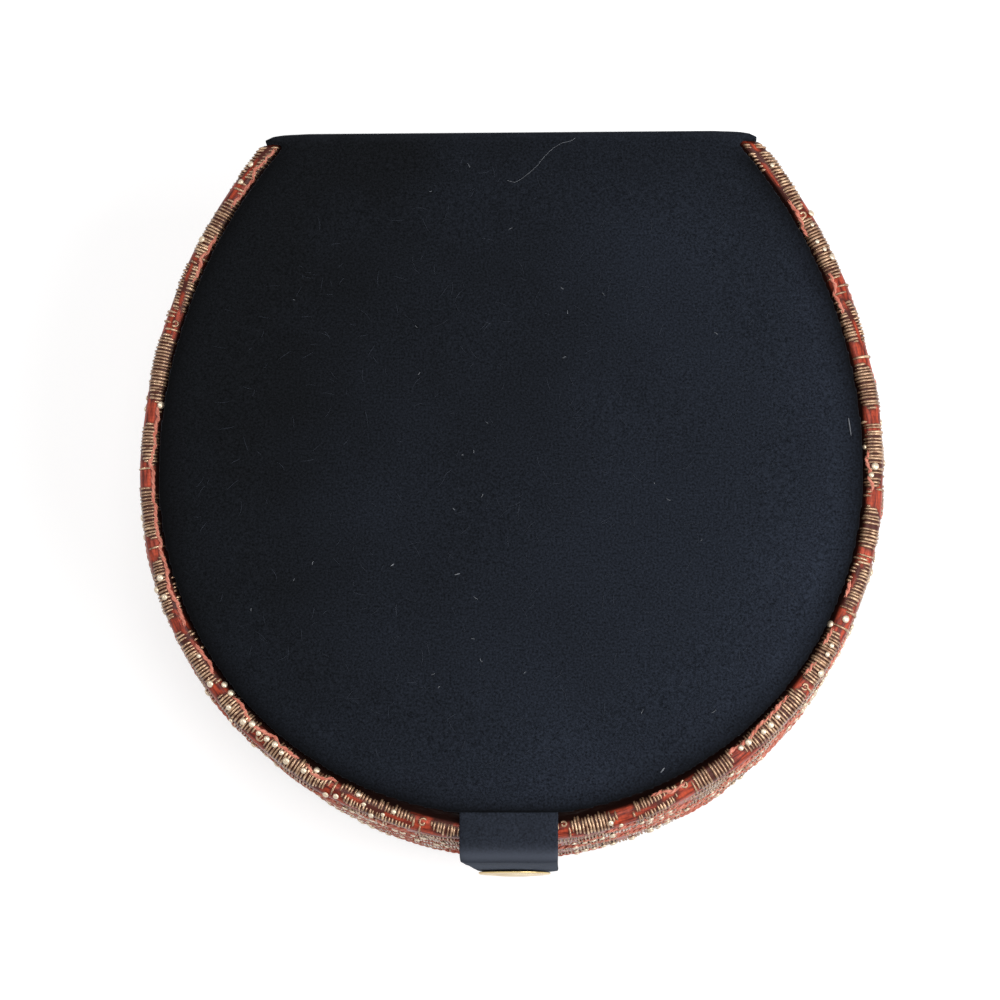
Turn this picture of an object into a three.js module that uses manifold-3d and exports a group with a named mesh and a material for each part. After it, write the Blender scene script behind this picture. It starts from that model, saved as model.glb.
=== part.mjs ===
// Horseshoe trinket case: a covered board tray, a lid on a cloth hinge and a strap with a press stud.
// Millimetres, +Z up, front towards -Y. The origin is the centre of the front curve, on the underside.
import * as THREE from 'three';
import { mergeVertices } from 'three/addons/utils/BufferGeometryUtils.js';
import Module from 'manifold-3d';

const wasm = await Module();
wasm.setup();

// Plan of the case
const frontRadius = 50; // half-round front, so the case is twice this wide
const sideRadius = 72; // each side draws in towards the back on this radius
const backDepth = 46.5; // widest line to the outer face of the velvet spine

// Heights
const baseHeight = 19.8; // underside to the covered top edge of the base
const partingGap = 0.4; // the two covered edges don't quite touch
const lidHeight = 16.6; // covered lower edge of the lid to the top of its rim
const collarRise = 4; // collar above the base's edge

// Cloth and board
const glueGap = 0.2; // between any two layers that are glued or laid together
const brocadeThickness = 0.8;
const wallThickness = 1.8; // board of the walls and backs
const boardThickness = 2; // board of the top and the floor
const boardChamfer = 0.6; // edge eased where the cloth is drawn over it
const rimRadius = 1.6; // outside rounding of the covered rim
const edgeRadius = 0.5; // outside rounding of the covered parting edges
const rimTurnIn = 6; // brocade turned over onto the top and the underside
const feltThickness = 1;
const spineThickness = 1;
const hingeClothThickness = 0.4;
const hingeClothHeight = 22;
const hingeClothMargin = 0.5; // clear of the brocade's turned-in ends

// Padded velvet panel on the lid
const panelInset = 2.3; // width of brocade rim left in view
const velvetThickness = 1.2;
const panelCrown = 0.7;
const crownRun = 20; // distance from the edge over which a pad rises

// Lining
const collarClearance = 0.4; // collar to the board of the lid
const collarThickness = 1.4;
const liningThickness = 0.6;
const liningOverCollar = 0.6; // lining of the lid ends this far above the collar
const floorPadThickness = 1.6;
const floorPadCrown = 0.6;
const lidPadThickness = 1.4;
const lidPadCrown = 0.4;

// Strap with the press stud
const strapWidth = 13;
const strapEndWidth = 11;
const strapThickness = 0.7;
const strapDrop = 6.2; // strap below the stud's axis
const tongueThickness = 0.4;
const tongueLength = 4; // strap tucked under the velvet panel
const strapSplit = 0.36; // gap where the strap flexes, on its outer face
const studDepth = 5.5; // axis of the press stud below the base's top edge
const studFlangeRadius = 4;
const studFlange = 0.25;
const nippleRadius = 1.8; // widest part of the nipple's head
const nippleNeck = 1.5;
const nippleTip = 1.4;
const nippleHeight = 0.5;
const headHeight = 0.32; // widest part of the head above the flange
const socketRadius = 4.4;
const socketThickness = 0.55;
const socketClearance = 0.4; // socket's bore round the nipple
const snapClearance = 0.2; // hanging strap to the tip of the nipple
const capRadius = 5;
const capThickness = 0.6;
const capEdge = 0.2; // upright edge under the cap's dome
const shankRadius = 0.9;
const shankClearance = 0.3;
const postHeadRadius = 3.5;
const postHeadThickness = 0.5;

// Facets
const frontSegments = 28;
const sideSegments = 8;
const bandSteps = 46;
const roundSegments = 4; // per quarter turn of a small rounding
const turnedSegments = 24; // round metal pieces
const domeRings = 4;
const padRings = [0.35, 0.7, 1]; // shares of crownRun at which a pad has a ring
const weld = 1e-4; // corners closer than this are one
const overrun = 4; // a cutting tool runs past what it cuts by this much

// Levels, from the table up
const baseBandBottom = feltThickness + glueGap;
const baseBoardBottom = baseBandBottom + brocadeThickness + glueGap;
const baseBoardTop = baseBoardBottom + boardThickness;
const baseWallBottom = baseBoardTop + glueGap;
const baseWallTop = baseHeight - brocadeThickness - glueGap;
const studHeight = baseHeight - studDepth;
const lidBandBottom = baseHeight + partingGap;
const lidBandTop = lidBandBottom + lidHeight;
const lidWallBottom = lidBandBottom + brocadeThickness + glueGap;
const lidBoardTop = lidBandTop - brocadeThickness - glueGap;
const lidBoardBottom = lidBoardTop - boardThickness;
const lidWallTop = lidBoardBottom - glueGap;
const collarTop = baseHeight + collarRise;
const panelBottom = lidBandTop + glueGap;

// Insets from the plan's outline, and the matching depths at the back
const wallOuter = brocadeThickness + glueGap;
const wallInner = wallOuter + wallThickness;
const collarOuter = wallInner + collarClearance;
const collarInner = collarOuter + collarThickness;
const liningOuter = wallInner + glueGap;
const liningInner = liningOuter + liningThickness;
const spineFace = backDepth - spineThickness;
const brocadeEnd = spineFace - glueGap;
const hingeClothFace = brocadeEnd - hingeClothThickness;
const backBoardOuter = hingeClothFace - glueGap;
const backBoardInner = backBoardOuter - wallThickness;
const wallEnd = backBoardInner - glueGap;

// Distances in front of the plan's centre, through the press stud
const studBack = frontRadius + glueGap;
const studFace = studBack + studFlange;
const socketMouth = studFace + nippleHeight + snapClearance;
const strapInner = socketMouth + socketThickness + glueGap;
const strapOuter = strapInner + strapThickness;
const capBack = strapOuter + glueGap;

// Plan of the case drawn in by an inset and closed straight across at a depth, as points
// that run counter-clockwise from the back left corner
const sideShift = sideRadius - frontRadius;

function planPoints(inset, back) {
  const side = sideRadius - inset;
  const front = frontRadius - inset;
  const backAngle = Math.asin(back / side);
  const points = [];
  for (let i = 0; i < sideSegments; i++) {
    const angle = backAngle * (1 - i / sideSegments);
    points.push(new THREE.Vector2(sideShift - side * Math.cos(angle), side * Math.sin(angle)));
  }
  for (let i = 0; i <= frontSegments; i++) {
    const angle = Math.PI * (1 + i / frontSegments);
    points.push(new THREE.Vector2(front * Math.cos(angle), front * Math.sin(angle)));
  }
  for (let i = 1; i <= sideSegments; i++) {
    const angle = (backAngle * i) / sideSegments;
    points.push(new THREE.Vector2(side * Math.cos(angle) - sideShift, side * Math.sin(angle)));
  }
  return points;
}

const halfWidthAt = (inset, depth) => Math.sqrt((sideRadius - inset) ** 2 - depth ** 2) - sideShift;

// The outline as a path from the back left, round the front, to the back right
class RimPath extends THREE.Curve {
  constructor(back) {
    super();
    this.backAngle = Math.asin(back / sideRadius);
    this.sideLength = sideRadius * this.backAngle;
    this.frontLength = Math.PI * frontRadius;
  }

  getPoint(t, target = new THREE.Vector3()) {
    const along = t * (2 * this.sideLength + this.frontLength);
    if (along < this.sideLength) {
      const angle = (this.sideLength - along) / sideRadius;
      return target.set(sideShift - sideRadius * Math.cos(angle), sideRadius * Math.sin(angle), 0);
    }
    if (along > this.sideLength + this.frontLength) {
      const angle = (along - this.sideLength - this.frontLength) / sideRadius;
      return target.set(sideRadius * Math.cos(angle) - sideShift, sideRadius * Math.sin(angle), 0);
    }
    const angle = Math.PI + (along - this.sideLength) / frontRadius;
    return target.set(frontRadius * Math.cos(angle), frontRadius * Math.sin(angle), 0);
  }
}

// Joins and cuts
function toSolid(geometry) {
  const bare = geometry.clone();
  bare.deleteAttribute('normal');
  bare.deleteAttribute('uv');
  const welded = mergeVertices(bare, weld);
  const mesh = new wasm.Mesh({
    numProp: 3,
    vertProperties: new Float32Array(welded.attributes.position.array),
    triVerts: new Uint32Array(welded.index.array),
  });
  return new wasm.Manifold(mesh);
}

function toGeometry(solid) {
  const mesh = solid.getMesh();
  const geometry = new THREE.BufferGeometry();
  geometry.setAttribute('position', new THREE.BufferAttribute(mesh.vertProperties, 3));
  geometry.setIndex(new THREE.BufferAttribute(mesh.triVerts, 1));
  geometry.computeVertexNormals();
  return geometry;
}

function cut(geometry, ...tools) {
  let solid = toSolid(geometry);
  for (const tool of tools) solid = solid.subtract(toSolid(tool));
  return toGeometry(solid);
}

const shared = (a, b) => toGeometry(toSolid(a).intersect(toSolid(b)));

// Closed form through plan rings listed from its lower middle, out and up, to its upper middle
function loft(rings) {
  const outlines = rings.map((ring) => planPoints(ring.inset, ring.back));
  const count = outlines[0].length;
  const positions = [];
  outlines.forEach((outline, k) => outline.forEach((p) => positions.push(p.x, p.y, rings[k].z)));
  const index = [];
  for (let k = 0; k + 1 < rings.length; k++) {
    for (let i = 0; i < count; i++) {
      const a = k * count + i;
      const b = k * count + ((i + 1) % count);
      index.push(a, b, b + count, a, b + count, a + count);
    }
  }
  const top = (rings.length - 1) * count;
  for (const [a, b, c] of THREE.ShapeUtils.triangulateShape(outlines[0], [])) index.push(a, c, b);
  for (const [a, b, c] of THREE.ShapeUtils.triangulateShape(outlines.at(-1), [])) {
    index.push(top + a, top + b, top + c);
  }
  const geometry = new THREE.BufferGeometry();
  geometry.setAttribute('position', new THREE.Float32BufferAttribute(positions, 3));
  geometry.setIndex(index);
  geometry.computeVertexNormals();
  return geometry;
}

function upright(shape, bottom, top) {
  const geometry = new THREE.ExtrudeGeometry(shape, { depth: top - bottom, bevelEnabled: false });
  return geometry.translate(0, 0, bottom);
}

// Shape drawn as (depth y, height z), carried across the width about the middle
function acrossWidth(shape, width) {
  const geometry = new THREE.ExtrudeGeometry(shape, {
    depth: width,
    bevelEnabled: false,
    curveSegments: roundSegments,
  });
  const basis = new THREE.Matrix4().makeBasis(
    new THREE.Vector3(0, 1, 0),
    new THREE.Vector3(0, 0, 1),
    new THREE.Vector3(1, 0, 0),
  );
  return geometry.translate(0, 0, -width / 2).applyMatrix4(basis);
}

function block(halfWidth, yFrom, yTo, zFrom, zTo) {
  const geometry = new THREE.BoxGeometry(2 * halfWidth, yTo - yFrom, zTo - zFrom);
  return geometry.translate(0, (yFrom + yTo) / 2, (zFrom + zTo) / 2);
}

// U-shaped wall board, open at the back
function wallBand(bottom, top) {
  const outer = planPoints(wallOuter, wallEnd);
  const inner = planPoints(wallInner, wallEnd).reverse();
  return upright(new THREE.Shape([...outer, ...inner]), bottom, top);
}

// Ring that goes right round, its back straight
function fullRing(outer, backOuter, thickness, bottom, top) {
  const shape = new THREE.Shape(planPoints(outer, backOuter));
  shape.holes.push(new THREE.Path(planPoints(outer + thickness, backOuter - thickness)));
  return upright(shape, bottom, top);
}

function backBoard(bottom, top) {
  const near = halfWidthAt(wallOuter, backBoardInner);
  const far = halfWidthAt(wallOuter, backBoardOuter);
  const shape = new THREE.Shape();
  shape.moveTo(-near, backBoardInner);
  shape.lineTo(near, backBoardInner);
  shape.lineTo(far, backBoardOuter);
  shape.lineTo(-far, backBoardOuter);
  return upright(shape, bottom, top);
}

// Brocade strip drawn round a wall: rounded and turned over by rimTurnIn at its rim edge,
// and turned in over the wall's thickness at the parting edge
function brocadeBand(rim, parting) {
  const up = Math.sign(rim - parting);
  const height = Math.abs(rim - parting);
  const section = [];
  const corner = (across, along, radius, from, to) => {
    for (let i = 0; i <= roundSegments; i++) {
      const angle = from + ((to - from) * i) / roundSegments;
      section.push([across - radius * Math.cos(angle), along + radius * Math.sin(angle)]);
    }
  };
  const quarter = Math.PI / 2;
  corner(edgeRadius, edgeRadius, edgeRadius, -quarter, 0);
  corner(rimRadius, height - rimRadius, rimRadius, 0, quarter);
  section.push([rimTurnIn, height], [rimTurnIn, height - brocadeThickness]);
  corner(rimRadius, height - rimRadius, rimRadius - brocadeThickness, quarter, 0);
  section.push([brocadeThickness, brocadeThickness], [wallInner, brocadeThickness], [wallInner, 0]);
  // the swept section takes its first axis downwards and its second towards the inside
  const shape = new THREE.Shape(
    section.map(([across, along]) => new THREE.Vector2(-(parting + up * along), across)),
  );
  const swept = new THREE.ExtrudeGeometry(shape, {
    steps: bandSteps,
    bevelEnabled: false,
    extrudePath: new RimPath(backDepth + overrun),
  });
  const behind = block(2 * frontRadius, brocadeEnd, sideRadius, 0, 2 * lidBandTop);
  return cut(swept, behind);
}

// Height of a crowned pad's face above its edge
function crownAt(depthIn, rise) {
  const share = Math.min(1, depthIn / crownRun);
  return rise * (1 - (1 - share) ** 2);
}

// Crowned pad: one face flat, the other rounded at its edge and rising to the middle
function crownedPad(inset, back, flat, thickness, rise) {
  const up = Math.sign(thickness);
  const radius = Math.abs(thickness) / 2;
  const flatSide = [{ inset, back, z: flat }];
  const crownSide = [{ inset, back, z: flat + up * radius }];
  for (let i = 1; i <= roundSegments; i++) {
    const angle = (Math.PI / 2) * (i / roundSegments);
    const draw = radius * (1 - Math.cos(angle));
    const z = flat + up * radius * (1 + Math.sin(angle));
    crownSide.push({ inset: inset + draw, back: back - draw, z });
  }
  for (const share of padRings) {
    const depth = share * crownRun;
    const z = flat + thickness + up * crownAt(depth, rise);
    crownSide.push({ inset: inset + depth, back: back - depth, z });
  }
  const rings = [...flatSide, ...crownSide];
  return loft(up > 0 ? rings : rings.reverse());
}

// Round piece turned about the press stud's axis; heights in the profile run towards the front
function turned(profile) {
  const points = profile.map(([radius, height]) => new THREE.Vector2(radius, height));
  return new THREE.LatheGeometry(points, turnedSegments);
}

function studHole(radius, from, to) {
  const geometry = new THREE.CylinderGeometry(radius, radius, to - from, turnedSegments);
  return geometry.translate(0, -(from + to) / 2, studHeight);
}

// Finishes
const finish = {
  velvet: { color: '#20263a', roughness: 0.95, metalness: 0 },
  brocade: { color: '#8a4328', roughness: 0.6, metalness: 0.15 },
  board: { color: '#8d8574', roughness: 0.9, metalness: 0 },
  wadding: { color: '#e6e1d6', roughness: 1, metalness: 0 },
  felt: { color: '#1d2233', roughness: 1, metalness: 0 },
  cotton: { color: '#2b3046', roughness: 0.9, metalness: 0 },
  satin: { color: '#6d1a1d', roughness: 0.45, metalness: 0 },
  brass: { color: '#c79a55', roughness: 0.3, metalness: 1 },
};

function addPiece(group, name, geometry, look) {
  const mesh = new THREE.Mesh(geometry, new THREE.MeshStandardMaterial(look));
  mesh.name = name;
  group.add(mesh);
  return mesh;
}

// Sits a turned piece on the press stud's axis, its foot this far in front of the plan's centre
function addTurned(group, name, profile, foot) {
  const mesh = addPiece(group, name, turned(profile), finish.brass);
  mesh.position.set(0, -foot, studHeight);
  mesh.rotation.x = Math.PI;
  return mesh;
}

const box = new THREE.Group();
const base = new THREE.Group();
const lid = new THREE.Group();
const strap = new THREE.Group();
box.add(base, lid, strap);

// Base: boards, packing and the felt that it stands on
addPiece(
  base,
  'base_felt',
  loft([
    { inset: panelInset + edgeRadius, back: backDepth - edgeRadius, z: 0 },
    { inset: panelInset, back: backDepth, z: Math.min(edgeRadius, feltThickness / 2) },
    { inset: panelInset, back: backDepth, z: feltThickness },
  ]),
  finish.felt,
);
addPiece(
  base,
  'base_packing',
  loft([
    { inset: rimTurnIn + glueGap, back: backBoardOuter, z: baseBandBottom },
    { inset: rimTurnIn + glueGap, back: backBoardOuter, z: baseBandBottom + brocadeThickness },
  ]),
  finish.board,
);
addPiece(
  base,
  'base_board',
  loft([
    { inset: wallOuter + boardChamfer, back: backBoardOuter, z: baseBoardBottom },
    { inset: wallOuter, back: backBoardOuter, z: baseBoardBottom + boardChamfer },
    { inset: wallOuter, back: backBoardOuter, z: baseBoardTop },
  ]),
  finish.board,
);
const postRecess = postHeadThickness + glueGap;
addPiece(
  base,
  'base_wall_board',
  cut(
    wallBand(baseWallBottom, baseWallTop),
    studHole(shankRadius + shankClearance, frontRadius - wallInner - overrun, frontRadius),
    studHole(
      postHeadRadius + shankClearance,
      frontRadius - wallInner - overrun,
      frontRadius - wallInner + postRecess,
    ),
  ),
  finish.board,
);
addPiece(base, 'base_back_board', backBoard(baseWallBottom, baseWallTop), finish.board);
addPiece(
  base,
  'base_brocade_band',
  cut(
    brocadeBand(baseBandBottom, baseHeight),
    studHole(shankRadius + shankClearance, frontRadius - wallInner, frontRadius + overrun),
  ),
  finish.brocade,
);

// Base: collar that locates the lid, and the padded floor inside it
const collarBack = backBoardInner - collarClearance;
addPiece(
  base,
  'base_collar',
  fullRing(collarOuter, collarBack, collarThickness, baseWallBottom, collarTop),
  finish.satin,
);
addPiece(
  base,
  'floor_pad',
  crownedPad(
    collarInner + glueGap,
    collarBack - collarThickness - glueGap,
    baseWallBottom,
    floorPadThickness,
    floorPadCrown,
  ),
  finish.velvet,
);

// Cloth hinge: the velvet spine in two leaves that meet at the fold, and the strip behind it
const spineHalfWidth = halfWidthAt(0, backDepth);
const hingeClothHalf = halfWidthAt(wallInner, brocadeEnd) - hingeClothMargin;
const foldHeight = (baseHeight + lidBandBottom) / 2;
addPiece(
  base,
  'spine_lower',
  block(spineHalfWidth, spineFace, backDepth, feltThickness + glueGap, baseHeight),
  finish.velvet,
);
addPiece(
  base,
  'hinge_cloth',
  block(
    hingeClothHalf,
    hingeClothFace,
    brocadeEnd,
    foldHeight - hingeClothHeight / 2,
    foldHeight + hingeClothHeight / 2,
  ),
  finish.cotton,
);
addPiece(
  lid,
  'spine_upper',
  block(spineHalfWidth, spineFace, backDepth, lidBandBottom, lidBandTop),
  finish.velvet,
);

// Lid: boards and the brocade over them
addPiece(
  lid,
  'lid_top_board',
  loft([
    { inset: wallOuter, back: backBoardOuter, z: lidBoardBottom },
    { inset: wallOuter, back: backBoardOuter, z: lidBoardTop - boardChamfer },
    { inset: wallOuter + boardChamfer, back: backBoardOuter, z: lidBoardTop },
  ]),
  finish.board,
);
addPiece(lid, 'lid_wall_board', wallBand(lidWallBottom, lidWallTop), finish.board);
addPiece(lid, 'lid_back_board', backBoard(lidWallBottom, lidWallTop), finish.board);
addPiece(lid, 'lid_brocade_band', brocadeBand(lidBandTop, lidBandBottom), finish.brocade);

// Lid: lining, its pad crowned downwards
const liningBack = backBoardInner - glueGap;
addPiece(
  lid,
  'lid_wall_lining',
  fullRing(liningOuter, liningBack, liningThickness, collarTop + liningOverCollar, lidWallTop),
  finish.satin,
);
addPiece(
  lid,
  'lid_lining_pad',
  crownedPad(
    liningInner + glueGap,
    liningBack - liningThickness - glueGap,
    lidWallTop,
    -lidPadThickness,
    lidPadCrown,
  ),
  finish.satin,
);

// Lid: wadding inside the turned-in brocade, and the velvet panel over both
const waddingInset = rimTurnIn + glueGap;
const panelDepths = padRings.map((share) => share * crownRun);
const underVelvet = panelDepths.map((depth) => ({
  inset: panelInset + depth,
  back: backDepth - depth,
  z: panelBottom + crownAt(depth, panelCrown),
}));
addPiece(
  lid,
  'lid_wadding',
  loft([
    { inset: waddingInset, back: backBoardOuter, z: lidBoardTop + glueGap },
    { inset: waddingInset, back: backBoardOuter, z: lidBandTop },
    ...underVelvet.map((ring) => ({ ...ring, z: ring.z - glueGap })),
  ]),
  finish.wadding,
);

function velvetPanel() {
  const radius = velvetThickness / 2;
  const edge = [];
  for (let i = -roundSegments / 2; i <= roundSegments / 2; i++) {
    const angle = (Math.PI / roundSegments) * i;
    const draw = radius * (1 - Math.cos(angle));
    edge.push({
      inset: panelInset + draw,
      back: backDepth - draw,
      z: panelBottom + radius * (1 + Math.sin(angle)),
    });
  }
  const overVelvet = underVelvet.map((ring) => ({ ...ring, z: ring.z + velvetThickness }));
  return loft([...underVelvet.toReversed(), ...edge, ...overVelvet]);
}

// The strap's tongue is tucked into a shallow pocket under the panel's front edge
const panelFront = frontRadius - panelInset;
const pocket = block(
  strapWidth / 2 + glueGap,
  -(panelFront + overrun),
  -(panelFront - tongueLength - glueGap),
  panelBottom - overrun,
  panelBottom + tongueThickness + glueGap,
);
addPiece(lid, 'lid_velvet', cut(velvetPanel(), pocket), finish.velvet);

// Strap: drawn from the side as a bend over the rim, split where it flexes
const bendInner = strapInner - frontRadius;
const bendOuter = bendInner + strapThickness;
const bendHeight = panelBottom - bendInner;
const halfBend = (3 * Math.PI) / 4;
const halfSplit = strapSplit / 2 / bendOuter;

function rootShape() {
  const start = -(panelFront + glueGap);
  const shape = new THREE.Shape();
  shape.moveTo(-(panelFront - tongueLength), panelBottom);
  shape.lineTo(-(panelFront - tongueLength), panelBottom + tongueThickness);
  shape.lineTo(start, panelBottom + tongueThickness);
  shape.lineTo(start, panelBottom + strapThickness);
  shape.absarc(-frontRadius, bendHeight, bendOuter, Math.PI / 2, halfBend - halfSplit, false);
  shape.absarc(-frontRadius, bendHeight, bendInner, halfBend - halfSplit, Math.PI / 2, true);
  return shape;
}

function hangingShape() {
  const end = studHeight - strapDrop;
  const shape = new THREE.Shape();
  shape.moveTo(-strapInner, end);
  shape.absarc(-frontRadius, bendHeight, bendInner, Math.PI, halfBend + halfSplit, true);
  shape.absarc(-frontRadius, bendHeight, bendOuter, halfBend + halfSplit, Math.PI, false);
  shape.lineTo(-strapOuter, end);
  return shape;
}

// Front view of the hanging part: it tapers to a round end
function strapFront() {
  const end = studHeight - strapDrop;
  const half = strapEndWidth / 2;
  const shape = new THREE.Shape();
  shape.moveTo(-strapWidth / 2, panelBottom + overrun);
  shape.lineTo(-strapWidth / 2, bendHeight);
  shape.absarc(0, end + half, half, Math.PI, 2 * Math.PI, false);
  shape.lineTo(strapWidth / 2, bendHeight);
  shape.lineTo(strapWidth / 2, panelBottom + overrun);
  const geometry = new THREE.ExtrudeGeometry(shape, {
    depth: bendOuter + 2 * overrun,
    bevelEnabled: false,
  });
  const basis = new THREE.Matrix4().makeBasis(
    new THREE.Vector3(1, 0, 0),
    new THREE.Vector3(0, 0, 1),
    new THREE.Vector3(0, -1, 0),
  );
  return geometry.applyMatrix4(basis).translate(0, -(frontRadius - overrun), 0);
}

addPiece(lid, 'tab_root', acrossWidth(rootShape(), strapWidth), finish.velvet);
addPiece(
  strap,
  'tab_strap',
  cut(
    shared(acrossWidth(hangingShape(), strapWidth), strapFront()),
    studHole(shankRadius + shankClearance, strapInner - overrun, strapOuter + overrun),
  ),
  finish.velvet,
);

// Press stud: cap and socket on the strap, stud and post on the base's front wall
const capShank = capBack - strapInner;
const capProfile = [
  [0, -capShank],
  [shankRadius, -capShank],
  [shankRadius, 0],
  [capRadius, 0],
];
for (let i = 0; i <= domeRings; i++) {
  const share = 1 - i / domeRings;
  capProfile.push([capRadius * share, capEdge + (capThickness - capEdge) * (1 - share ** 2)]);
}
addTurned(strap, 'snap_cap', capProfile, capBack);
const socketBore = nippleRadius + socketClearance;
const socketProfile = [
  [socketBore, 0],
  [socketRadius, 0],
  [socketRadius, socketThickness],
  [socketBore, socketThickness],
];
addTurned(strap, 'snap_socket', [...socketProfile, socketProfile[0]], socketMouth);
const studBore = shankRadius + shankClearance;
const studProfile = [
  [studBore, 0],
  [studFlangeRadius, 0],
  [studFlangeRadius, studFlange],
  [nippleNeck, studFlange],
  [nippleRadius, studFlange + headHeight],
  [nippleTip, studFlange + nippleHeight],
  [studBore, studFlange + nippleHeight],
];
addTurned(base, 'snap_stud', [...studProfile, studProfile[0]], studBack);
const postFoot = frontRadius - wallInner + glueGap / 2;
const shankEnd = studFace + nippleHeight / 2 - postFoot;
addTurned(
  base,
  'snap_post',
  [
    [0, 0],
    [postHeadRadius, 0],
    [postHeadRadius, postHeadThickness],
    [shankRadius, postHeadThickness],
    [shankRadius, shankEnd],
    [0, shankEnd],
  ],
  postFoot,
);

export default box;
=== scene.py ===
import math
import random
from bisect import bisect_right

import bpy
from mathutils import Matrix, Vector, geometry, noise
from mathutils.bvhtree import BVHTree


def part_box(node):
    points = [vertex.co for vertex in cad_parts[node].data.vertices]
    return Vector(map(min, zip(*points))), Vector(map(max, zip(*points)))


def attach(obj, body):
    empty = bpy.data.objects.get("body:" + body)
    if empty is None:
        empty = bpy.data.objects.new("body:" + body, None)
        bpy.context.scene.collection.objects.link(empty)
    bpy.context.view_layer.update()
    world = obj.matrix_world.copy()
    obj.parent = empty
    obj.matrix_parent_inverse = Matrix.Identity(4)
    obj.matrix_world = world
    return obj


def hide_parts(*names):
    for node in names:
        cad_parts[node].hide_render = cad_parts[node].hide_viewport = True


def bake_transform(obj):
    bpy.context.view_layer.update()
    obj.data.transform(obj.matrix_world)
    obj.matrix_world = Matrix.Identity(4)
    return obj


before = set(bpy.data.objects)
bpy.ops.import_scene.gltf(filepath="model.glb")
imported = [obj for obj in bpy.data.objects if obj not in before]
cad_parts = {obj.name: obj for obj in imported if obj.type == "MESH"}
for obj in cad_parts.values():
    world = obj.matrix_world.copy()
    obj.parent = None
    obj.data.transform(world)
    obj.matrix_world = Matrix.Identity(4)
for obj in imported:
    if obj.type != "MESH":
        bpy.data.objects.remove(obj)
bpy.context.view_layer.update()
print("frame loaded,", len(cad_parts), "solids")

mm = 0.001  # sizes are worked out in millimetres, meshes are written in metres
scene = bpy.context.scene
scene.view_settings.view_transform = "Standard"


def linear(hexText):
    channels = [int(hexText[i:i + 2], 16) / 255 for i in (1, 3, 5)]
    return [c / 12.92 if c <= 0.04045 else ((c + 0.055) / 1.055) ** 2.4 for c in channels] + [1.0]


def addNode(tree, kind, inputs=None, **settings):
    # an input that is another node's output is linked, any other is set
    node = tree.nodes.new(kind)
    for key, value in settings.items():
        setattr(node, key, value)
    for socket, value in (inputs or {}).items():
        if isinstance(value, bpy.types.NodeSocket):
            tree.links.new(value, node.inputs[socket])
        else:
            node.inputs[socket].default_value = value
    return node


# Materials


def startMaterial(name):
    material = bpy.data.materials.new(name)
    material.use_nodes = True
    material.node_tree.nodes.clear()
    return material, material.node_tree


def endMaterial(tree, inputs):
    shader = addNode(tree, "ShaderNodeBsdfPrincipled", inputs)
    addNode(tree, "ShaderNodeOutputMaterial", {"Surface": shader.outputs[0]})


def perMm(size):
    return 1 / (size * mm)  # texture scale for a feature of this many millimetres


def speckledMaterial(name, speck, first, second, shine, relief=None):
    # two tones in one grain; speck holds the noise's sizes, relief its strength and its depth in mm
    material, tree = startMaterial(name)
    place = addNode(tree, "ShaderNodeTexCoord").outputs["Object"]
    spots = addNode(tree, "ShaderNodeTexNoise", {"Vector": place, **speck}).outputs["Fac"]
    tone = addNode(tree, "ShaderNodeMix", {0: spots, 6: linear(first), 7: linear(second)}, data_type="RGBA")
    inputs = {"Base Color": tone.outputs[2], **shine}
    if relief:
        strength, depth = relief
        raised = addNode(tree, "ShaderNodeBump", {
            "Height": spots, "Strength": strength, "Distance": depth * mm})
        inputs["Normal"] = raised.outputs[0]
    endMaterial(tree, inputs)
    return material


# cotton velvet: short cut pile that drinks light, fine grain, with painted light: darker at the left, lighter
# and cooler to the right and front;
# greyer along folds with wear and a painted highlight, black with painted shade in the groove at its edge
velvetMaterial, tree = startMaterial("cottonVelvet")
place = addNode(tree, "ShaderNodeTexCoord").outputs["Object"]
# real pile is about 0.1 mm apart, drawn at 0.28 mm so that it shows
pile = addNode(tree, "ShaderNodeTexNoise", {
    "Vector": place, "Scale": perMm(0.28), "Detail": 3.0, "Roughness": 0.65}).outputs["Fac"]
tuft = addNode(tree, "ShaderNodeMapRange", {0: pile, 1: 0.3, 2: 0.72}).outputs[0]
brushed = addNode(tree, "ShaderNodeTexNoise", {
    "Vector": place, "Scale": perMm(24.0), "Detail": 3.0, "Roughness": 0.55})
cloudy = addNode(tree, "ShaderNodeMapRange", {0: brushed.outputs["Fac"], 1: 0.35, 2: 0.7, 4: 0.22})
# painted light: darker at the left of the lid, lighter towards its right and front where the softbox is, over
# about 100 mm
lean = addNode(tree, "ShaderNodeVectorMath", {0: place, 1: (1.0, -0.4, 0.0)}, operation="DOT_PRODUCT")
paintedLightSide = addNode(tree, "ShaderNodeMapRange", {
    0: lean.outputs["Value"], 1: -56 * mm, 2: 60 * mm, 3: -0.22, 4: 0.72})
cloudAndLight = addNode(tree, "ShaderNodeMath", {
    0: paintedLightSide.outputs[0], 1: cloudy.outputs[0]}, operation="ADD", use_clamp=True)
# deep and raised are the darker and lighter ends of the painted light and of the brushed cloudiness
deep = addNode(tree, "ShaderNodeMix", {0: tuft, 6: linear("#040506"), 7: linear("#1a1c20")}, data_type="RGBA")
raised = addNode(tree, "ShaderNodeMix", {
    0: tuft, 6: linear("#11141a"), 7: linear("#363d4b")}, data_type="RGBA")
tone = addNode(tree, "ShaderNodeMix", {
    0: cloudAndLight.outputs[0], 6: deep.outputs[2], 7: raised.outputs[2]}, data_type="RGBA")
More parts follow.
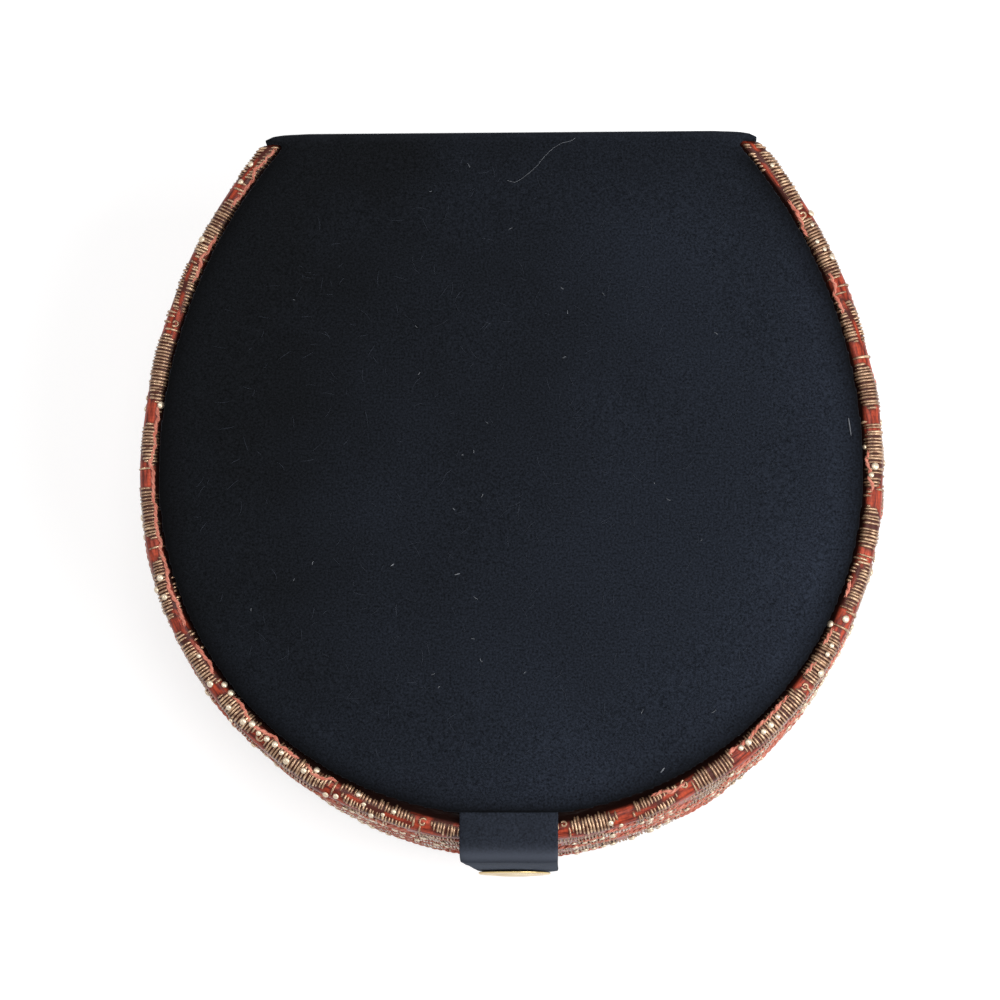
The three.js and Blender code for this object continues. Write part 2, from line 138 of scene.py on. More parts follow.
# painted marks kept on the mesh: greyer with wear and a painted highlight, and near black with painted shade
for mark, colour in (("bruiseAndHighlight", "#565b67"), ("paintedShade", "#050506")):  # values kept on the mesh
    amount = addNode(tree, "ShaderNodeAttribute", attribute_name=mark).outputs["Fac"]
    tone = addNode(tree, "ShaderNodeMix", {
        0: amount, 6: tone.outputs[2], 7: linear(colour)}, data_type="RGBA")
relief = addNode(tree, "ShaderNodeBump", {"Height": pile, "Strength": 0.35, "Distance": 0.12 * mm})
endMaterial(tree, {
    "Base Color": tone.outputs[2], "Normal": relief.outputs[0], "Roughness": 0.9, "Specular IOR Level": 0.06,
    "Sheen Weight": 0.14, "Sheen Roughness": 0.3, "Sheen Tint": linear("#b4c2dc")})

# red satin brocade ground: glossy floats that run along the band, maroon with an orange painted highlight in
# streaks, with the faint cross ribs of the weft; painted shade, brown under the gold and near black in the
# seam beside the velvet
brocadeMaterial, tree = startMaterial("satinBrocade")
clothPlace = addNode(tree, "ShaderNodeAttribute", attribute_name="clothPlace").outputs["Vector"]
apart = addNode(tree, "ShaderNodeSeparateXYZ", {0: clothPlace})
# weft at the same 0.47 mm pitch as the gold floats that lie on it
phase = addNode(tree, "ShaderNodeMath", {0: apart.outputs["X"], 1: math.tau / 0.47}, operation="MULTIPLY")
rib = addNode(tree, "ShaderNodeMath", {0: phase.outputs[0]}, operation="SINE")
ribTop = addNode(tree, "ShaderNodeMapRange", {0: rib.outputs[0], 1: -1.0, 2: 0.2, 3: 0.86})
# floats in streaks of about 2.6 mm by 0.5 mm, their orange a painted highlight
streak = addNode(tree, "ShaderNodeMapping", {"Vector": clothPlace, "Scale": (1 / 2.6, 1 / 0.5, 1.0)})
patch = addNode(tree, "ShaderNodeTexNoise", {
    "Vector": streak.outputs[0], "Scale": 1.0, "Roughness": 0.6}).outputs["Fac"]
shade = addNode(tree, "ShaderNodeMapRange", {0: patch, 1: 0.34, 2: 0.66})
red = addNode(tree, "ShaderNodeMix", {
    0: shade.outputs[0], 6: linear("#561710"), 7: linear("#c64f33")}, data_type="RGBA")
tone = addNode(tree, "ShaderNodeMix", {
    0: ribTop.outputs[0], 6: linear("#2c0b08"), 7: red.outputs[2]}, data_type="RGBA")
# painted shade: brown in the gaps under the gold floats, near black in the seam beside the velvet
for mark, colour in (("goldGapShade", "#4a1c12"), ("seamShade", "#1a0b08")):
    amount = addNode(tree, "ShaderNodeAttribute", attribute_name=mark).outputs["Fac"]
    tone = addNode(tree, "ShaderNodeMix", {
        0: amount, 6: tone.outputs[2], 7: linear(colour)}, data_type="RGBA")
relief = addNode(tree, "ShaderNodeBump", {"Height": patch, "Strength": 0.3, "Distance": 0.25 * mm})
endMaterial(tree, {
    "Base Color": tone.outputs[2], "Normal": relief.outputs[0], "Roughness": 0.38, "Specular IOR Level": 0.2})

# gilt metallised thread: flat strip wound on a core, brown to cream along its length, partly its tone and
# partly a painted glint
giltMaterial, tree = startMaterial("giltThread")
place = addNode(tree, "ShaderNodeTexCoord").outputs["Object"]
wind = addNode(tree, "ShaderNodeTexNoise", {"Vector": place, "Scale": perMm(0.7)})
worn = addNode(tree, "ShaderNodeTexNoise", {"Vector": place, "Scale": perMm(7.0), "Detail": 1.0})
glintAndTone = addNode(tree, "ShaderNodeMapRange", {0: wind.outputs["Fac"], 1: 0.35, 2: 0.7})
rubbed = addNode(tree, "ShaderNodeMapRange", {0: worn.outputs["Fac"], 1: 0.4, 2: 0.65, 4: 0.75})
gilt = addNode(tree, "ShaderNodeMix", {
    0: glintAndTone.outputs[0], 6: linear("#7c5842"), 7: linear("#deba97")}, data_type="RGBA")
dull = addNode(tree, "ShaderNodeMix", {
    0: rubbed.outputs[0], 6: gilt.outputs[2], 7: linear("#926e55")}, data_type="RGBA")
endMaterial(tree, {"Base Color": dull.outputs[2], "Roughness": 0.2, "Metallic": 0.45})

# gilt purl: the tight metal loops, coloured pale cream as painted glints so that they show as cream dots
purlGlintMaterial = speckledMaterial("giltPurlGlint", {"Scale": perMm(1.6)}, "#cdb596", "#ddd0bd", {
    "Roughness": 0.3, "Metallic": 0.6})

# rayon stem cord: smooth twisted filament, rust with patches of salmon painted highlight
cordMaterial = speckledMaterial("rayonCord", {"Scale": perMm(0.9)}, "#b04630", "#f2a791", {
    "Roughness": 0.33, "Specular IOR Level": 0.2, "Sheen Weight": 0.2, "Sheen Roughness": 0.3,
    "Sheen Tint": linear("#f0c0b0")})

# polished brass, stamped: bright, a little copper where the lacquer has gone
brassMaterial, tree = startMaterial("stampedBrass")
place = addNode(tree, "ShaderNodeTexCoord").outputs["Object"]
tarnish = addNode(tree, "ShaderNodeTexNoise", {
    "Vector": place, "Scale": perMm(3.5), "Detail": 4.0}).outputs["Fac"]
gone = addNode(tree, "ShaderNodeMapRange", {0: tarnish, 1: 0.4, 2: 0.7, 4: 0.5})
smear = addNode(tree, "ShaderNodeMapRange", {0: tarnish, 1: 0.3, 2: 0.7, 3: 0.2, 4: 0.38})
tone = addNode(tree, "ShaderNodeMix", {
    0: gone.outputs[0], 6: linear("#d8c08a"), 7: linear("#94704c")}, data_type="RGBA")
endMaterial(tree, {"Base Color": tone.outputs[2], "Roughness": smear.outputs[0], "Metallic": 1.0})

# acetate satin lining: deep red, long glossy floats, faint crossways ribs and soft puckers
satinMaterial, tree = startMaterial("acetateSatin")
place = addNode(tree, "ShaderNodeTexCoord").outputs["Object"]
# floats are 0.1 mm wide, drawn at 0.32 mm
stretch = addNode(tree, "ShaderNodeMapping", {
    "Vector": place, "Scale": (perMm(5.0), perMm(0.32), perMm(0.32))})
floats = addNode(tree, "ShaderNodeTexNoise", {"Vector": stretch.outputs[0], "Scale": 1.0}).outputs["Fac"]
pucker = addNode(tree, "ShaderNodeTexNoise", {"Vector": place, "Scale": perMm(9.0), "Detail": 1.0})
tone = addNode(tree, "ShaderNodeMix", {
    0: floats, 6: linear("#5c1017"), 7: linear("#7a1d23")}, data_type="RGBA")
fine = addNode(tree, "ShaderNodeBump", {"Height": floats, "Strength": 0.35, "Distance": 0.08 * mm})
soft = addNode(tree, "ShaderNodeBump", {
    "Height": pucker.outputs["Fac"], "Normal": fine.outputs[0], "Strength": 0.25, "Distance": 0.5 * mm})
endMaterial(tree, {
    "Base Color": tone.outputs[2], "Normal": soft.outputs[0], "Roughness": 0.34, "Specular IOR Level": 0.3,
    "Sheen Weight": 0.25, "Sheen Roughness": 0.3, "Sheen Tint": linear("#f0a0a0")})

# wool felt: matted fibre, no shine
feltMaterial = speckledMaterial(
    "woolFelt", {"Scale": perMm(0.8), "Detail": 5.0, "Roughness": 0.7}, "#12151d", "#2b303d",
    {"Roughness": 0.95, "Specular IOR Level": 0.03}, (0.5, 0.25))

# cotton binding cloth: plain weave, threads over and under
cottonMaterial, tree = startMaterial("cottonBinding")
place = addNode(tree, "ShaderNodeTexCoord").outputs["Object"]
apart = addNode(tree, "ShaderNodeSeparateXYZ", {0: place})
threads = {}
for socket, axis in enumerate(("X", "Z")):  # a thread every 0.3 mm, drawn at 0.5 mm
    phase = addNode(tree, "ShaderNodeMath", {
        0: apart.outputs[axis], 1: math.tau * perMm(1.0)}, operation="MULTIPLY")
    threads[socket] = addNode(tree, "ShaderNodeMath", {0: phase.outputs[0]}, operation="SINE").outputs[0]
overUnder = addNode(tree, "ShaderNodeMath", threads, operation="MULTIPLY").outputs[0]
shade = addNode(tree, "ShaderNodeMapRange", {0: overUnder, 1: -1.0})
tone = addNode(tree, "ShaderNodeMix", {
    0: shade.outputs[0], 6: linear("#171a2c"), 7: linear("#2f3550")}, data_type="RGBA")
relief = addNode(tree, "ShaderNodeBump", {"Height": overUnder, "Strength": 0.4, "Distance": 0.1 * mm})
endMaterial(tree, {
    "Base Color": tone.outputs[2], "Normal": relief.outputs[0], "Roughness": 0.85,
    "Specular IOR Level": 0.08})

# bookbinder's grey board: pressed pulp, flecked
boardMaterial = speckledMaterial(
    "greyBoard", {"Scale": perMm(1.2), "Detail": 6.0, "Roughness": 0.7}, "#6f675a", "#a59b89",
    {"Roughness": 0.88, "Specular IOR Level": 0.08}, (0.25, 0.08))

# cotton lint: pale stray fibre caught in the pile
lintMaterial = speckledMaterial("cottonLint", {"Scale": perMm(2.0)}, "#44474d", "#9a9ea4", {
    "Roughness": 0.7, "Specular IOR Level": 0.1})

# loose pile: the velvet's own fibres lying on top, hardly lighter than the cloth
fibreMaterial = speckledMaterial("loosePile", {"Scale": perMm(3.0)}, "#1c1f25", "#4d525d", {
    "Roughness": 0.8, "Specular IOR Level": 0.06})
print("materials made,", len(bpy.data.materials))

# Plan of the case, the same as the solids: a half circle in front, longer arcs to the sides, a straight back
plan = {"frontRadius": 50.0, "sideRadius": 72.0, "clothBack": 45.0, "fan": 14.0}
quarterTurn = plan["frontRadius"] * math.pi / 2
sideShift = plan["sideRadius"] - plan["frontRadius"]


def share(value):
    return min(max(value, 0.0), 1.0)


def bell(value, width):
    return math.exp(-(value / width) ** 2)


def waver(*place):
    return noise.noise(Vector(place))


def outlinePoint(along, inset):
    past = abs(along) - quarterTurn
    if past <= 0:
        turn = along / plan["frontRadius"]
        radius = plan["frontRadius"] - inset
        return radius * math.sin(turn), -radius * math.cos(turn)
    turn = past / plan["sideRadius"]
    radius = plan["sideRadius"] - inset
    return math.copysign(radius * math.cos(turn) - sideShift, along), radius * math.sin(turn)


def reachAt(back, inset):
    # distance along the outline, from the middle of the front, at which an inset line meets this depth
    return quarterTurn + plan["sideRadius"] * math.asin(back / (plan["sideRadius"] - inset))


bandReach = reachAt(plan["clothBack"], 0)  # half the length of a brocade band


def closedLoop(inset, back, steps, backSteps, rounding=0, dip=None):
    # anticlockwise from the left end of the back; dip is a further inset that changes along the outline
    reach = reachAt(back, inset)
    stations = [reach * (2 * i / steps - 1) for i in range(steps + 1)]
    loop = [outlinePoint(along, inset + (dip(along) if dip else 0.0)) for along in stations]
    half = loop[-1][0]
    loop += [(half * (1 - 2 * i / backSteps), back) for i in range(1, backSteps)]
    for _ in range(rounding):
        count = len(loop)
        loop = [tuple((loop[i - 1][k] + 2 * loop[i][k] + loop[(i + 1) % count][k]) / 4 for k in (0, 1))
                for i in range(count)]
    return loop


def carry(mesh, name, values):
    # one number or vector for each point, for a material or a node tree to read
    if isinstance(values[0], float):
        mesh.attributes.new(name, "FLOAT", "POINT").data.foreach_set("value", values)
    else:
        layer = mesh.attributes.new(name, "FLOAT_VECTOR", "POINT")
        layer.data.foreach_set("vector", [part for value in values for part in value])


def linkPiece(name, mesh):
    piece = bpy.data.objects.new(name, mesh)
    scene.collection.objects.link(piece)
    return piece


def makePiece(name, points, faces, material):
    mesh = bpy.data.meshes.new(name)
    mesh.from_pydata([Vector(p) * mm for p in points], [], faces)
    mesh.polygons.foreach_set("use_smooth", [True] * len(mesh.polygons))
    mesh.materials.append(material)
    mesh.update()
    return linkPiece(name, mesh)


def ringFaces(ringCount, size, wrap):
    # quads between closed rings; rings run anticlockwise as seen from the end they climb to
    faces = []
    for ring in range(ringCount if wrap else ringCount - 1):
        a, b = ring * size, (ring + 1) % ringCount * size
        faces += [(a + i, a + (i + 1) % size, b + (i + 1) % size, b + i) for i in range(size)]
    return faces


def loftPiece(name, rings, material, capped=True, fan=True):
    # rings climb from the first to the last, each the same length; without caps the last joins the first;
    # an end is a fan, or one face where it is hollow-sided
    size = len(rings[0])
    points = [p for ring in rings for p in ring]
    faces = ringFaces(len(rings), size, not capped)
    if capped:
        for ring, flip in ((0, True), (len(rings) - 1, False)):
            start = ring * size
            if not fan:
                corners = range(start, start + size)
                faces.append(tuple(reversed(corners)) if flip else tuple(corners))
                continue
            hub = len(points)
            points.append([sum(p[k] for p in rings[ring]) / size for k in range(3)])
            for i in range(size):
                pair = (start + i, start + (i + 1) % size)
                faces.append((hub, *(reversed(pair) if flip else pair)))
    return makePiece(name, points, faces, material)


def bakedMesh(piece, name):
    # the evaluated piece as a plain mesh on a new object, without its modifiers
    depsgraph = bpy.context.evaluated_depsgraph_get()
    mesh = bpy.data.meshes.new_from_object(
        piece.evaluated_get(depsgraph), preserve_all_data_layers=True, depsgraph=depsgraph)
    mesh.name = name
    old = piece.data
    bpy.data.objects.remove(piece)
    bpy.data.meshes.remove(old)
    return linkPiece(name, mesh)


# Geometry Nodes trees


def startTree(name, sizes):
    tree = bpy.data.node_groups.new(name, "GeometryNodeTree")
    tree.interface.new_socket("Geometry", in_out="INPUT", socket_type="NodeSocketGeometry")
    for label, kind in sizes.items():
        tree.interface.new_socket(label, in_out="INPUT", socket_type="NodeSocket" + kind)
    tree.interface.new_socket("Geometry", in_out="OUTPUT", socket_type="NodeSocketGeometry")
    return tree, addNode(tree, "NodeGroupInput").outputs


def endTree(tree, shape, finish):
    real = addNode(tree, "GeometryNodeRealizeInstances", {"Geometry": shape})
    dressed = addNode(tree, "GeometryNodeSetMaterial", {"Geometry": real.outputs[0], "Material": finish})
    addNode(tree, "NodeGroupOutput", {0: dressed.outputs[0]})


def growPiece(name, guide, tree, sizes):
    modifier = guide.modifiers.new("grow", "NODES")
    modifier.node_group = tree
    for item in tree.interface.items_tree:
        if item.in_out == "INPUT" and item.name in sizes:
            modifier[item.identifier] = sizes[item.name]
    return bakedMesh(guide, name)


# laid threads: each guide line becomes a round thread that thins where threadSize says
threadTree, given = startTree("laidThreads", {"Thread Width": "Float", "Sides": "Int", "Finish": "Material"})
lines = addNode(threadTree, "GeometryNodeMeshToCurve", {"Mesh": given["Geometry"]})
thin = addNode(threadTree, "GeometryNodeInputNamedAttribute", {"Name": "threadSize"}, data_type="FLOAT")
half = addNode(threadTree, "ShaderNodeMath", {0: given["Thread Width"], 1: 0.5}, operation="MULTIPLY")
radius = addNode(threadTree, "ShaderNodeMath", {0: thin.outputs[0], 1: half.outputs[0]}, operation="MULTIPLY")
sized = addNode(threadTree, "GeometryNodeSetCurveRadius", {
    "Curve": lines.outputs[0], "Radius": radius.outputs[0]})
section = addNode(threadTree, "GeometryNodeCurvePrimitiveCircle", {
    "Radius": 1.0, "Resolution": given["Sides"]})
spread = addNode(threadTree, "GeometryNodeInputRadius")
tube = addNode(threadTree, "GeometryNodeCurveToMesh", {
    "Curve": sized.outputs[0], "Profile Curve": section.outputs[0], "Scale": spread.outputs[0],
    "Fill Caps": True})
smooth = addNode(threadTree, "GeometryNodeSetShadeSmooth", {"Geometry": tube.outputs[0]})
endTree(threadTree, smooth.outputs[0], given["Finish"])

# purl dots: a small flattened bead on every guide point, lying on the cloth
dotTree, given = startTree("purlDots", {
    "Dot Size": "Float", "Flatness": "Float", "Size Spread": "Float", "Seed": "Int", "Finish": "Material"})
half = addNode(dotTree, "ShaderNodeMath", {0: given["Dot Size"], 1: 0.5}, operation="MULTIPLY")
ball = addNode(dotTree, "GeometryNodeMeshIcoSphere", {"Radius": half.outputs[0], "Subdivisions": 2})
flat = addNode(dotTree, "ShaderNodeCombineXYZ", {0: 1.0, 1: 1.0, 2: given["Flatness"]})
bead = addNode(dotTree, "GeometryNodeTransform", {"Geometry": ball.outputs[0], "Scale": flat.outputs[0]})
smooth = addNode(dotTree, "GeometryNodeSetShadeSmooth", {"Geometry": bead.outputs[0]})
facing = addNode(dotTree, "GeometryNodeInputNamedAttribute", {"Name": "facing"}, data_type="FLOAT_VECTOR")
turned = addNode(dotTree, "FunctionNodeAlignRotationToVector", {"Vector": facing.outputs[0]}, axis="Z")
spots = addNode(dotTree, "GeometryNodeMeshToPoints", {"Mesh": given["Geometry"]})
least = addNode(dotTree, "ShaderNodeMath", {0: 1.0, 1: given["Size Spread"]}, operation="SUBTRACT")
most = addNode(dotTree, "ShaderNodeMath", {0: 1.0, 1: given["Size Spread"]}, operation="ADD")
pick = addNode(dotTree, "FunctionNodeRandomValue", {
    2: least.outputs[0], 3: most.outputs[0], "Seed": given["Seed"]}, data_type="FLOAT")
placed = addNode(dotTree, "GeometryNodeInstanceOnPoints", {
    "Points": spots.outputs[0], "Instance": smooth.outputs[0], "Rotation": turned.outputs[0],
    "Scale": pick.outputs[1]})
endTree(dotTree, placed.outputs[0], given["Finish"])


def guideLines(name, runs, facings=None):
    # runs of (points, sizes); each run becomes one open chain of edges; facings are the way each point looks
    points, edges, sizes = [], [], []
    for run, widths in runs:
        start = len(points)
        points += [Vector(p) * mm for p in run]
        sizes += widths
        edges += [(start + i, start + i + 1) for i in range(len(run) - 1)]
    mesh = bpy.data.meshes.new(name)
    mesh.from_pydata(points, edges, [])
    carry(mesh, "threadSize", sizes)
    if facings:
        carry(mesh, "facing", facings)
    return linkPiece(name, mesh)


print("node trees made")

# Brocade bands: a section walked from its hidden edge outwards and down, swept along the outline
lidBand = {
    "rimRadius": 1.5, "crest": 37.15, "tuck": 36.28, "bottom": 20.25, "turnIn": 2.6, "tucked": 5.4,
    "thickness": 0.45, "lumps": 0.2, "pressed": 0.42, "seed": 3.1, "rows": (1.8, 6.7, 11.6, 16.4),
    "ragged": (0.2, 0.85), "seamShade": 1.25}
baseBand = {
    "rimRadius": 1.6, "top": 19.75, "bottom": 1.25, "turnIn": 2.6, "tucked": 5.4,
    "thickness": 0.45, "lumps": 0.16, "pressed": 0.0, "seed": 8.4, "rows": (2.4, 7.6, 12.8, 17.6),
    "ragged": (-0.35, -0.2), "seamShade": -9.0}
weave = {
    "edgeTurn": 0.9, "strapHalf": 8.0, "strapMark": (7.8, 5.0),
    # leaves, full on the rim and pointed on the wall, some split by a stem
    "leafLength": (4.2, 9.0), "leafHeight": (1.8, 2.3), "gap": (0.8, 3.6), "lean": 0.5, "rimLonger": 1.3,
    "rimShape": (3.4, 0.42), "wallShape": (1.8, 0.75), "splits": (0.0, 0.0, 0.36, 0.6), "splitFrom": 1.8,
    "stemGap": 0.25,
    # gold floats, and the lone ones that stray into the gaps
    "pitch": 0.47, "shake": 0.16, "width": 0.38, "sizes": (0.72, 1.12), "wobble": 0.07, "dip": 0.12,
    "skip": 0.015, "innerEnd": (-0.35, 0.25), "outerEnd": (-0.25, 0.3), "shortest": 0.5, "floatStep": 0.42,
    "strayShare": 0.3, "strayOff": 1.6, "rimStray": (0.7, 2.0), "wallStray": (0.3, 0.6),
    # gold scrolls
    "curlShare": 0.14, "curlRadius": (0.4, 0.65), "curlOff": (-0.9, 0.5), "curlTurns": 0.9,
    "curlShrink": 0.55, "curlLift": 0.1, "curlSize": 0.85, "curlSteps": 18,
    # two-ply stem cord
    "cordWidth": 0.36, "cordTurn": 1.9, "cordApart": 0.12, "cordStep": 0.24, "cordLift": 0.1, "cordOff": 0.55,
    "cordEnd": 0.4, "cordTips": (0.2, 0.5, 0.8),
    # purl dots, in strings or single
    "dotSize": 0.84, "dotFlat": 0.55, "dotPitch": 1.35, "dotShake": 0.15, "dotSpread": 0.3, "dotLift": 0.3,
    "strungShare": 0.8, "singleShare": 0.06}


def cornerArc(inset, z, radius, start, end, steps):
    # (out, z) points of an arc; angles in degrees from straight out, out is the inset turned negative
    arc = []
    for i in range(steps + 1):
        angle = math.radians(start + (end - start) * i / steps)
        arc.append((-inset + radius * math.cos(angle), z + radius * math.sin(angle)))
    return arc


def sectionLine(points, zeroAt):
    lengths = [0.0]
    for a, b in zip(points, points[1:]):
        lengths.append(lengths[-1] + math.dist(a, b))
    normals = []
    for i in range(len(points)):
        a, b = points[max(i - 1, 0)], points[min(i + 1, len(points) - 1)]
        step = math.dist(a, b)
        normals.append((-(b[1] - a[1]) / step, (b[0] - a[0]) / step))
    return {"points": points, "lengths": [x - lengths[zeroAt] for x in lengths], "normals": normals}


def clothPoint(band, along, across, lift):
    line = band["line"]
    i = min(max(bisect_right(line["lengths"], across) - 1, 0), len(line["points"]) - 2)
    f = (across - line["lengths"][i]) / (line["lengths"][i + 1] - line["lengths"][i])
    out, z = (line["points"][i][k] * (1 - f) + line["points"][i + 1][k] * f for k in (0, 1))
    nOut, nZ = (line["normals"][i][k] * (1 - f) + line["normals"][i + 1][k] * f for k in (0, 1))
    lift += band["lumps"] * waver(along * 0.13, across * 0.22, band["seed"])
    wide, deep = weave["strapMark"]  # pressed flat under the strap
    lift -= band["pressed"] * math.exp(-(along / wide) ** 6 - (max(across, 0.0) / deep) ** 4)
    out += nOut * lift
    z += nZ * lift
    inset = -out
    # near the back the threads fan out, so that every inset ends at the same depth
    near = share((abs(along) - bandReach) / plan["fan"] + 1)
    fan = (reachAt(plan["clothBack"], inset) - bandReach) * near * near
    x, y = outlinePoint(along + math.copysign(fan, along), inset)
    return x, y, z


turn = weave["edgeTurn"]  # radius where the cloth turns in at the parting
rim, foot = lidBand["rimRadius"], baseBand["rimRadius"]
lidBand["line"] = sectionLine(
    [(-lidBand["tucked"], lidBand["tuck"]), (-3.1, lidBand["tuck"])]
    + cornerArc(rim, lidBand["crest"] - rim, rim, 155, 0, 18)
    + cornerArc(turn, lidBand["bottom"] + turn, turn, 0, -90, 6)
    + [(-lidBand["turnIn"], lidBand["bottom"])], 2)
baseBand["line"] = sectionLine(
    [(-baseBand["turnIn"], baseBand["top"])]
    + cornerArc(turn, baseBand["top"] - turn, turn, 90, 0, 6)
    + cornerArc(foot, baseBand["bottom"] + foot, foot, 0, -90, 10)
    + [(-baseBand["tucked"], baseBand["bottom"])], 1)


def leafSpan(leaf, along):
    # where the gold of a leaf begins and ends on one column of the weave
    u = 2 * (along - leaf["start"]) / leaf["length"] - 1
    if abs(u) >= 1:
        return None
    blunt, taper = leaf["shape"]
    tall = leaf["height"] * (1 - abs(u) ** blunt) ** taper
    middle = leaf["centre"] + leaf["lean"] * u
    return middle - tall, middle + tall


def goldSpans(leaf, along):
    # the same, in two where the leaf is split by its stem
    span = leafSpan(leaf, along)
    if not span:
        return []
    first, final = span
    if not leaf["split"] or final - first < weave["splitFrom"]:
        return [span]
    cut = first + (final - first) * leaf["split"]
    return [(first, cut - weave["stemGap"]), (cut + weave["stemGap"], final)]


def makeGround(name, band, rows, stations=420, steps=44):
    lengths = band["line"]["lengths"]
    outer = [lengths[0] + (lengths[-1] - lengths[0]) * i / steps for i in range(steps + 1)]
    skin = [(v, 0.0) for v in outer] + [(v, -band["thickness"]) for v in reversed(outer)]
    points, places, under, seamShade = [], [], [], []
    for station in range(stations + 1):
        along = bandReach * (2 * station / stations - 1)
        spans = [span for leaves in rows for leaf in leaves for span in goldSpans(leaf, along)]
        points += [clothPoint(band, along, v, lift) for v, lift in skin]
        places += [(along, v, 0.0) for v, _ in skin]
        # painted shade in the gaps under the gold floats
        under += [float(any(a - 0.1 < v < b + 0.1 for a, b in spans)) for v, _ in skin]
        # painted shade in the seam beside the velvet
        seamShade += [share((band["seamShade"] - v) / 0.5) for v, _ in skin]
    size = len(skin)
    faces = [tuple(reversed(face)) for face in ringFaces(stations + 1, size, False)]
    last = stations * size
    for i in range(steps):
        far = size - 1 - i
        faces.append((i, i + 1, far - 1, far))
        faces.append((last + i + 1, last + i, last + far, last + far - 1))
    ground = makePiece(name, points, faces, brocadeMaterial)
    for label, values in (("clothPlace", places), ("goldGapShade", under), ("seamShade", seamShade)):
        carry(ground.data, label, values)
    return ground


def leafPlan(band, rng):
    # leaves of uneven length follow one another along each row, with red gaps between them
    rows = []
    for row, centre in enumerate(band["rows"]):
        leaves = []
        longer, shape = (weave["rimLonger"], weave["rimShape"]) if row == 0 else (1.0, weave["wallShape"])
        start = -bandReach - rng.uniform(0, 6)
        while start < bandReach:
            length = rng.uniform(*weave["leafLength"]) * longer
            leaves.append({
                "start": start, "length": length, "centre": centre, "shape": shape,
                "height": rng.uniform(*weave["leafHeight"]), "lean": rng.choice((-1, 1)) * weave["lean"],
                "split": rng.choice(weave["splits"])})
            start += length + rng.uniform(*weave["gap"])
        rows.append(leaves)
    return rows


def laidRun(band, along, first, final, size):
    # one float: it rises out of the ground, lies over it and dips back in
    count = max(3, int((final - first) / weave["floatStep"]))
    points, sizes = [], []
    for i in range(count + 1):
        f = i / count
        bow = min(1.0, 6.4 * f * (1 - f))
        across = first + (final - first) * f
        stray = weave["wobble"] * waver(along * 2.3, across * 1.1, band["seed"])
        points.append(clothPoint(band, along + stray, across, -weave["dip"] + 2 * weave["dip"] * bow))
        sizes.append(size * (0.55 + 0.45 * bow))
    return points, sizes


def leafRuns(band, rows, rng):
    # gold weft floats: each column of the weave crosses the leaves that lie on it
    runs = []
    high = band["line"]["lengths"][-2] + 0.4
    for column in range(1, int(2 * bandReach / weave["pitch"])):
        along = -bandReach + weave["pitch"] * (column + rng.uniform(-weave["shake"], weave["shake"]))
        spans = []
        for leaves in rows:
            leaf = next((one for one in leaves if leafSpan(one, along)), None)
            if leaf and rng.random() > weave["skip"]:
                shares = goldSpans(leaf, along)
                shares[0] = (shares[0][0] + rng.uniform(*weave["innerEnd"]), shares[0][1])
                shares[-1] = (shares[-1][0], shares[-1][1] + rng.uniform(*weave["outerEnd"]))
                spans += shares
            elif not leaf and rng.random() < weave["strayShare"]:
                middle = leaves[0]["centre"] + rng.uniform(-weave["strayOff"], weave["strayOff"])
                reach = rng.uniform(*weave["rimStray" if leaves is rows[0] else "wallStray"])
                spans.append((middle - reach, middle + reach))
        for first, final in spans:
            # on the lid the inner ends are ragged, over the painted shade of the seam beside the velvet
            first, final = max(first, rng.uniform(*band["ragged"])), min(final, high)
            if final - first > weave["shortest"]:
                runs.append(laidRun(band, along, first, final, rng.uniform(*weave["sizes"])))
    return runs


def curlRuns(band, rows, rng):
    # a small gold scroll in some of the red gaps
    runs = []
    steps = weave["curlSteps"]
    for leaves in rows:
        for before, after in zip(leaves, leaves[1:]):
            middle = (before["start"] + before["length"] + after["start"]) / 2
            if abs(middle) > bandReach - 2 or rng.random() > weave["curlShare"]:
                continue
            across = before["centre"] + rng.uniform(*weave["curlOff"])
            radius, turned = rng.uniform(*weave["curlRadius"]), rng.uniform(0, math.tau)
            way = rng.choice((-1, 1))
            points = []
            for i in range(steps + 1):
                angle = turned + way * weave["curlTurns"] * math.tau * i / steps
                wide = radius * (1 - weave["curlShrink"] * i / steps)
                v = max(across + wide * math.sin(angle), 0.1)
                points.append(clothPoint(band, middle + wide * math.cos(angle), v, weave["curlLift"]))
            runs.append((points, [weave["curlSize"]] * len(points)))
    return runs


def cordRuns(band):
    # a two-ply salmon stem that wanders along each row in broken lengths, oftener on the left
    runs = []
    low, high = 0.3, band["line"]["lengths"][-2]
    apart, step, end = weave["cordApart"], weave["cordStep"], weave["cordEnd"]
    for row, centre in enumerate(band["rows"]):
        for ply in (0.0, math.pi):
            points, sizes = [], []
            for i in range(int(2 * bandReach / step)):
                along = -bandReach + end + i * step
                rare = -0.16 + 0.24 * share((along + 40) / 90)
                shown = waver(along * 0.16, row * 4.0, band["seed"]) > rare
                if shown and along < bandReach - end:
                    wander = 0.6 * waver(along * 0.27, row * 3.0, 5.0)
                    wander += 0.35 * waver(along * 0.8, row * 3.0, 9.0)
                    turn = math.tau * along / weave["cordTurn"] + ply
                    across = centre - weave["cordOff"] + wander + apart * math.cos(turn)
                    lift = weave["cordLift"] + apart * math.sin(turn)
                    points.append(clothPoint(band, along, min(max(across, low), high), lift))
                    sizes.append(1.0 + 0.5 * waver(along * 0.9, row * 7.0, 1.0))
                if points and (not shown or along >= bandReach - 0.9):
                    if len(points) > 10:
                        sizes[:3], sizes[-3:] = weave["cordTips"], weave["cordTips"][::-1]
                        runs.append((points, sizes))
                    points, sizes = [], []
    return runs


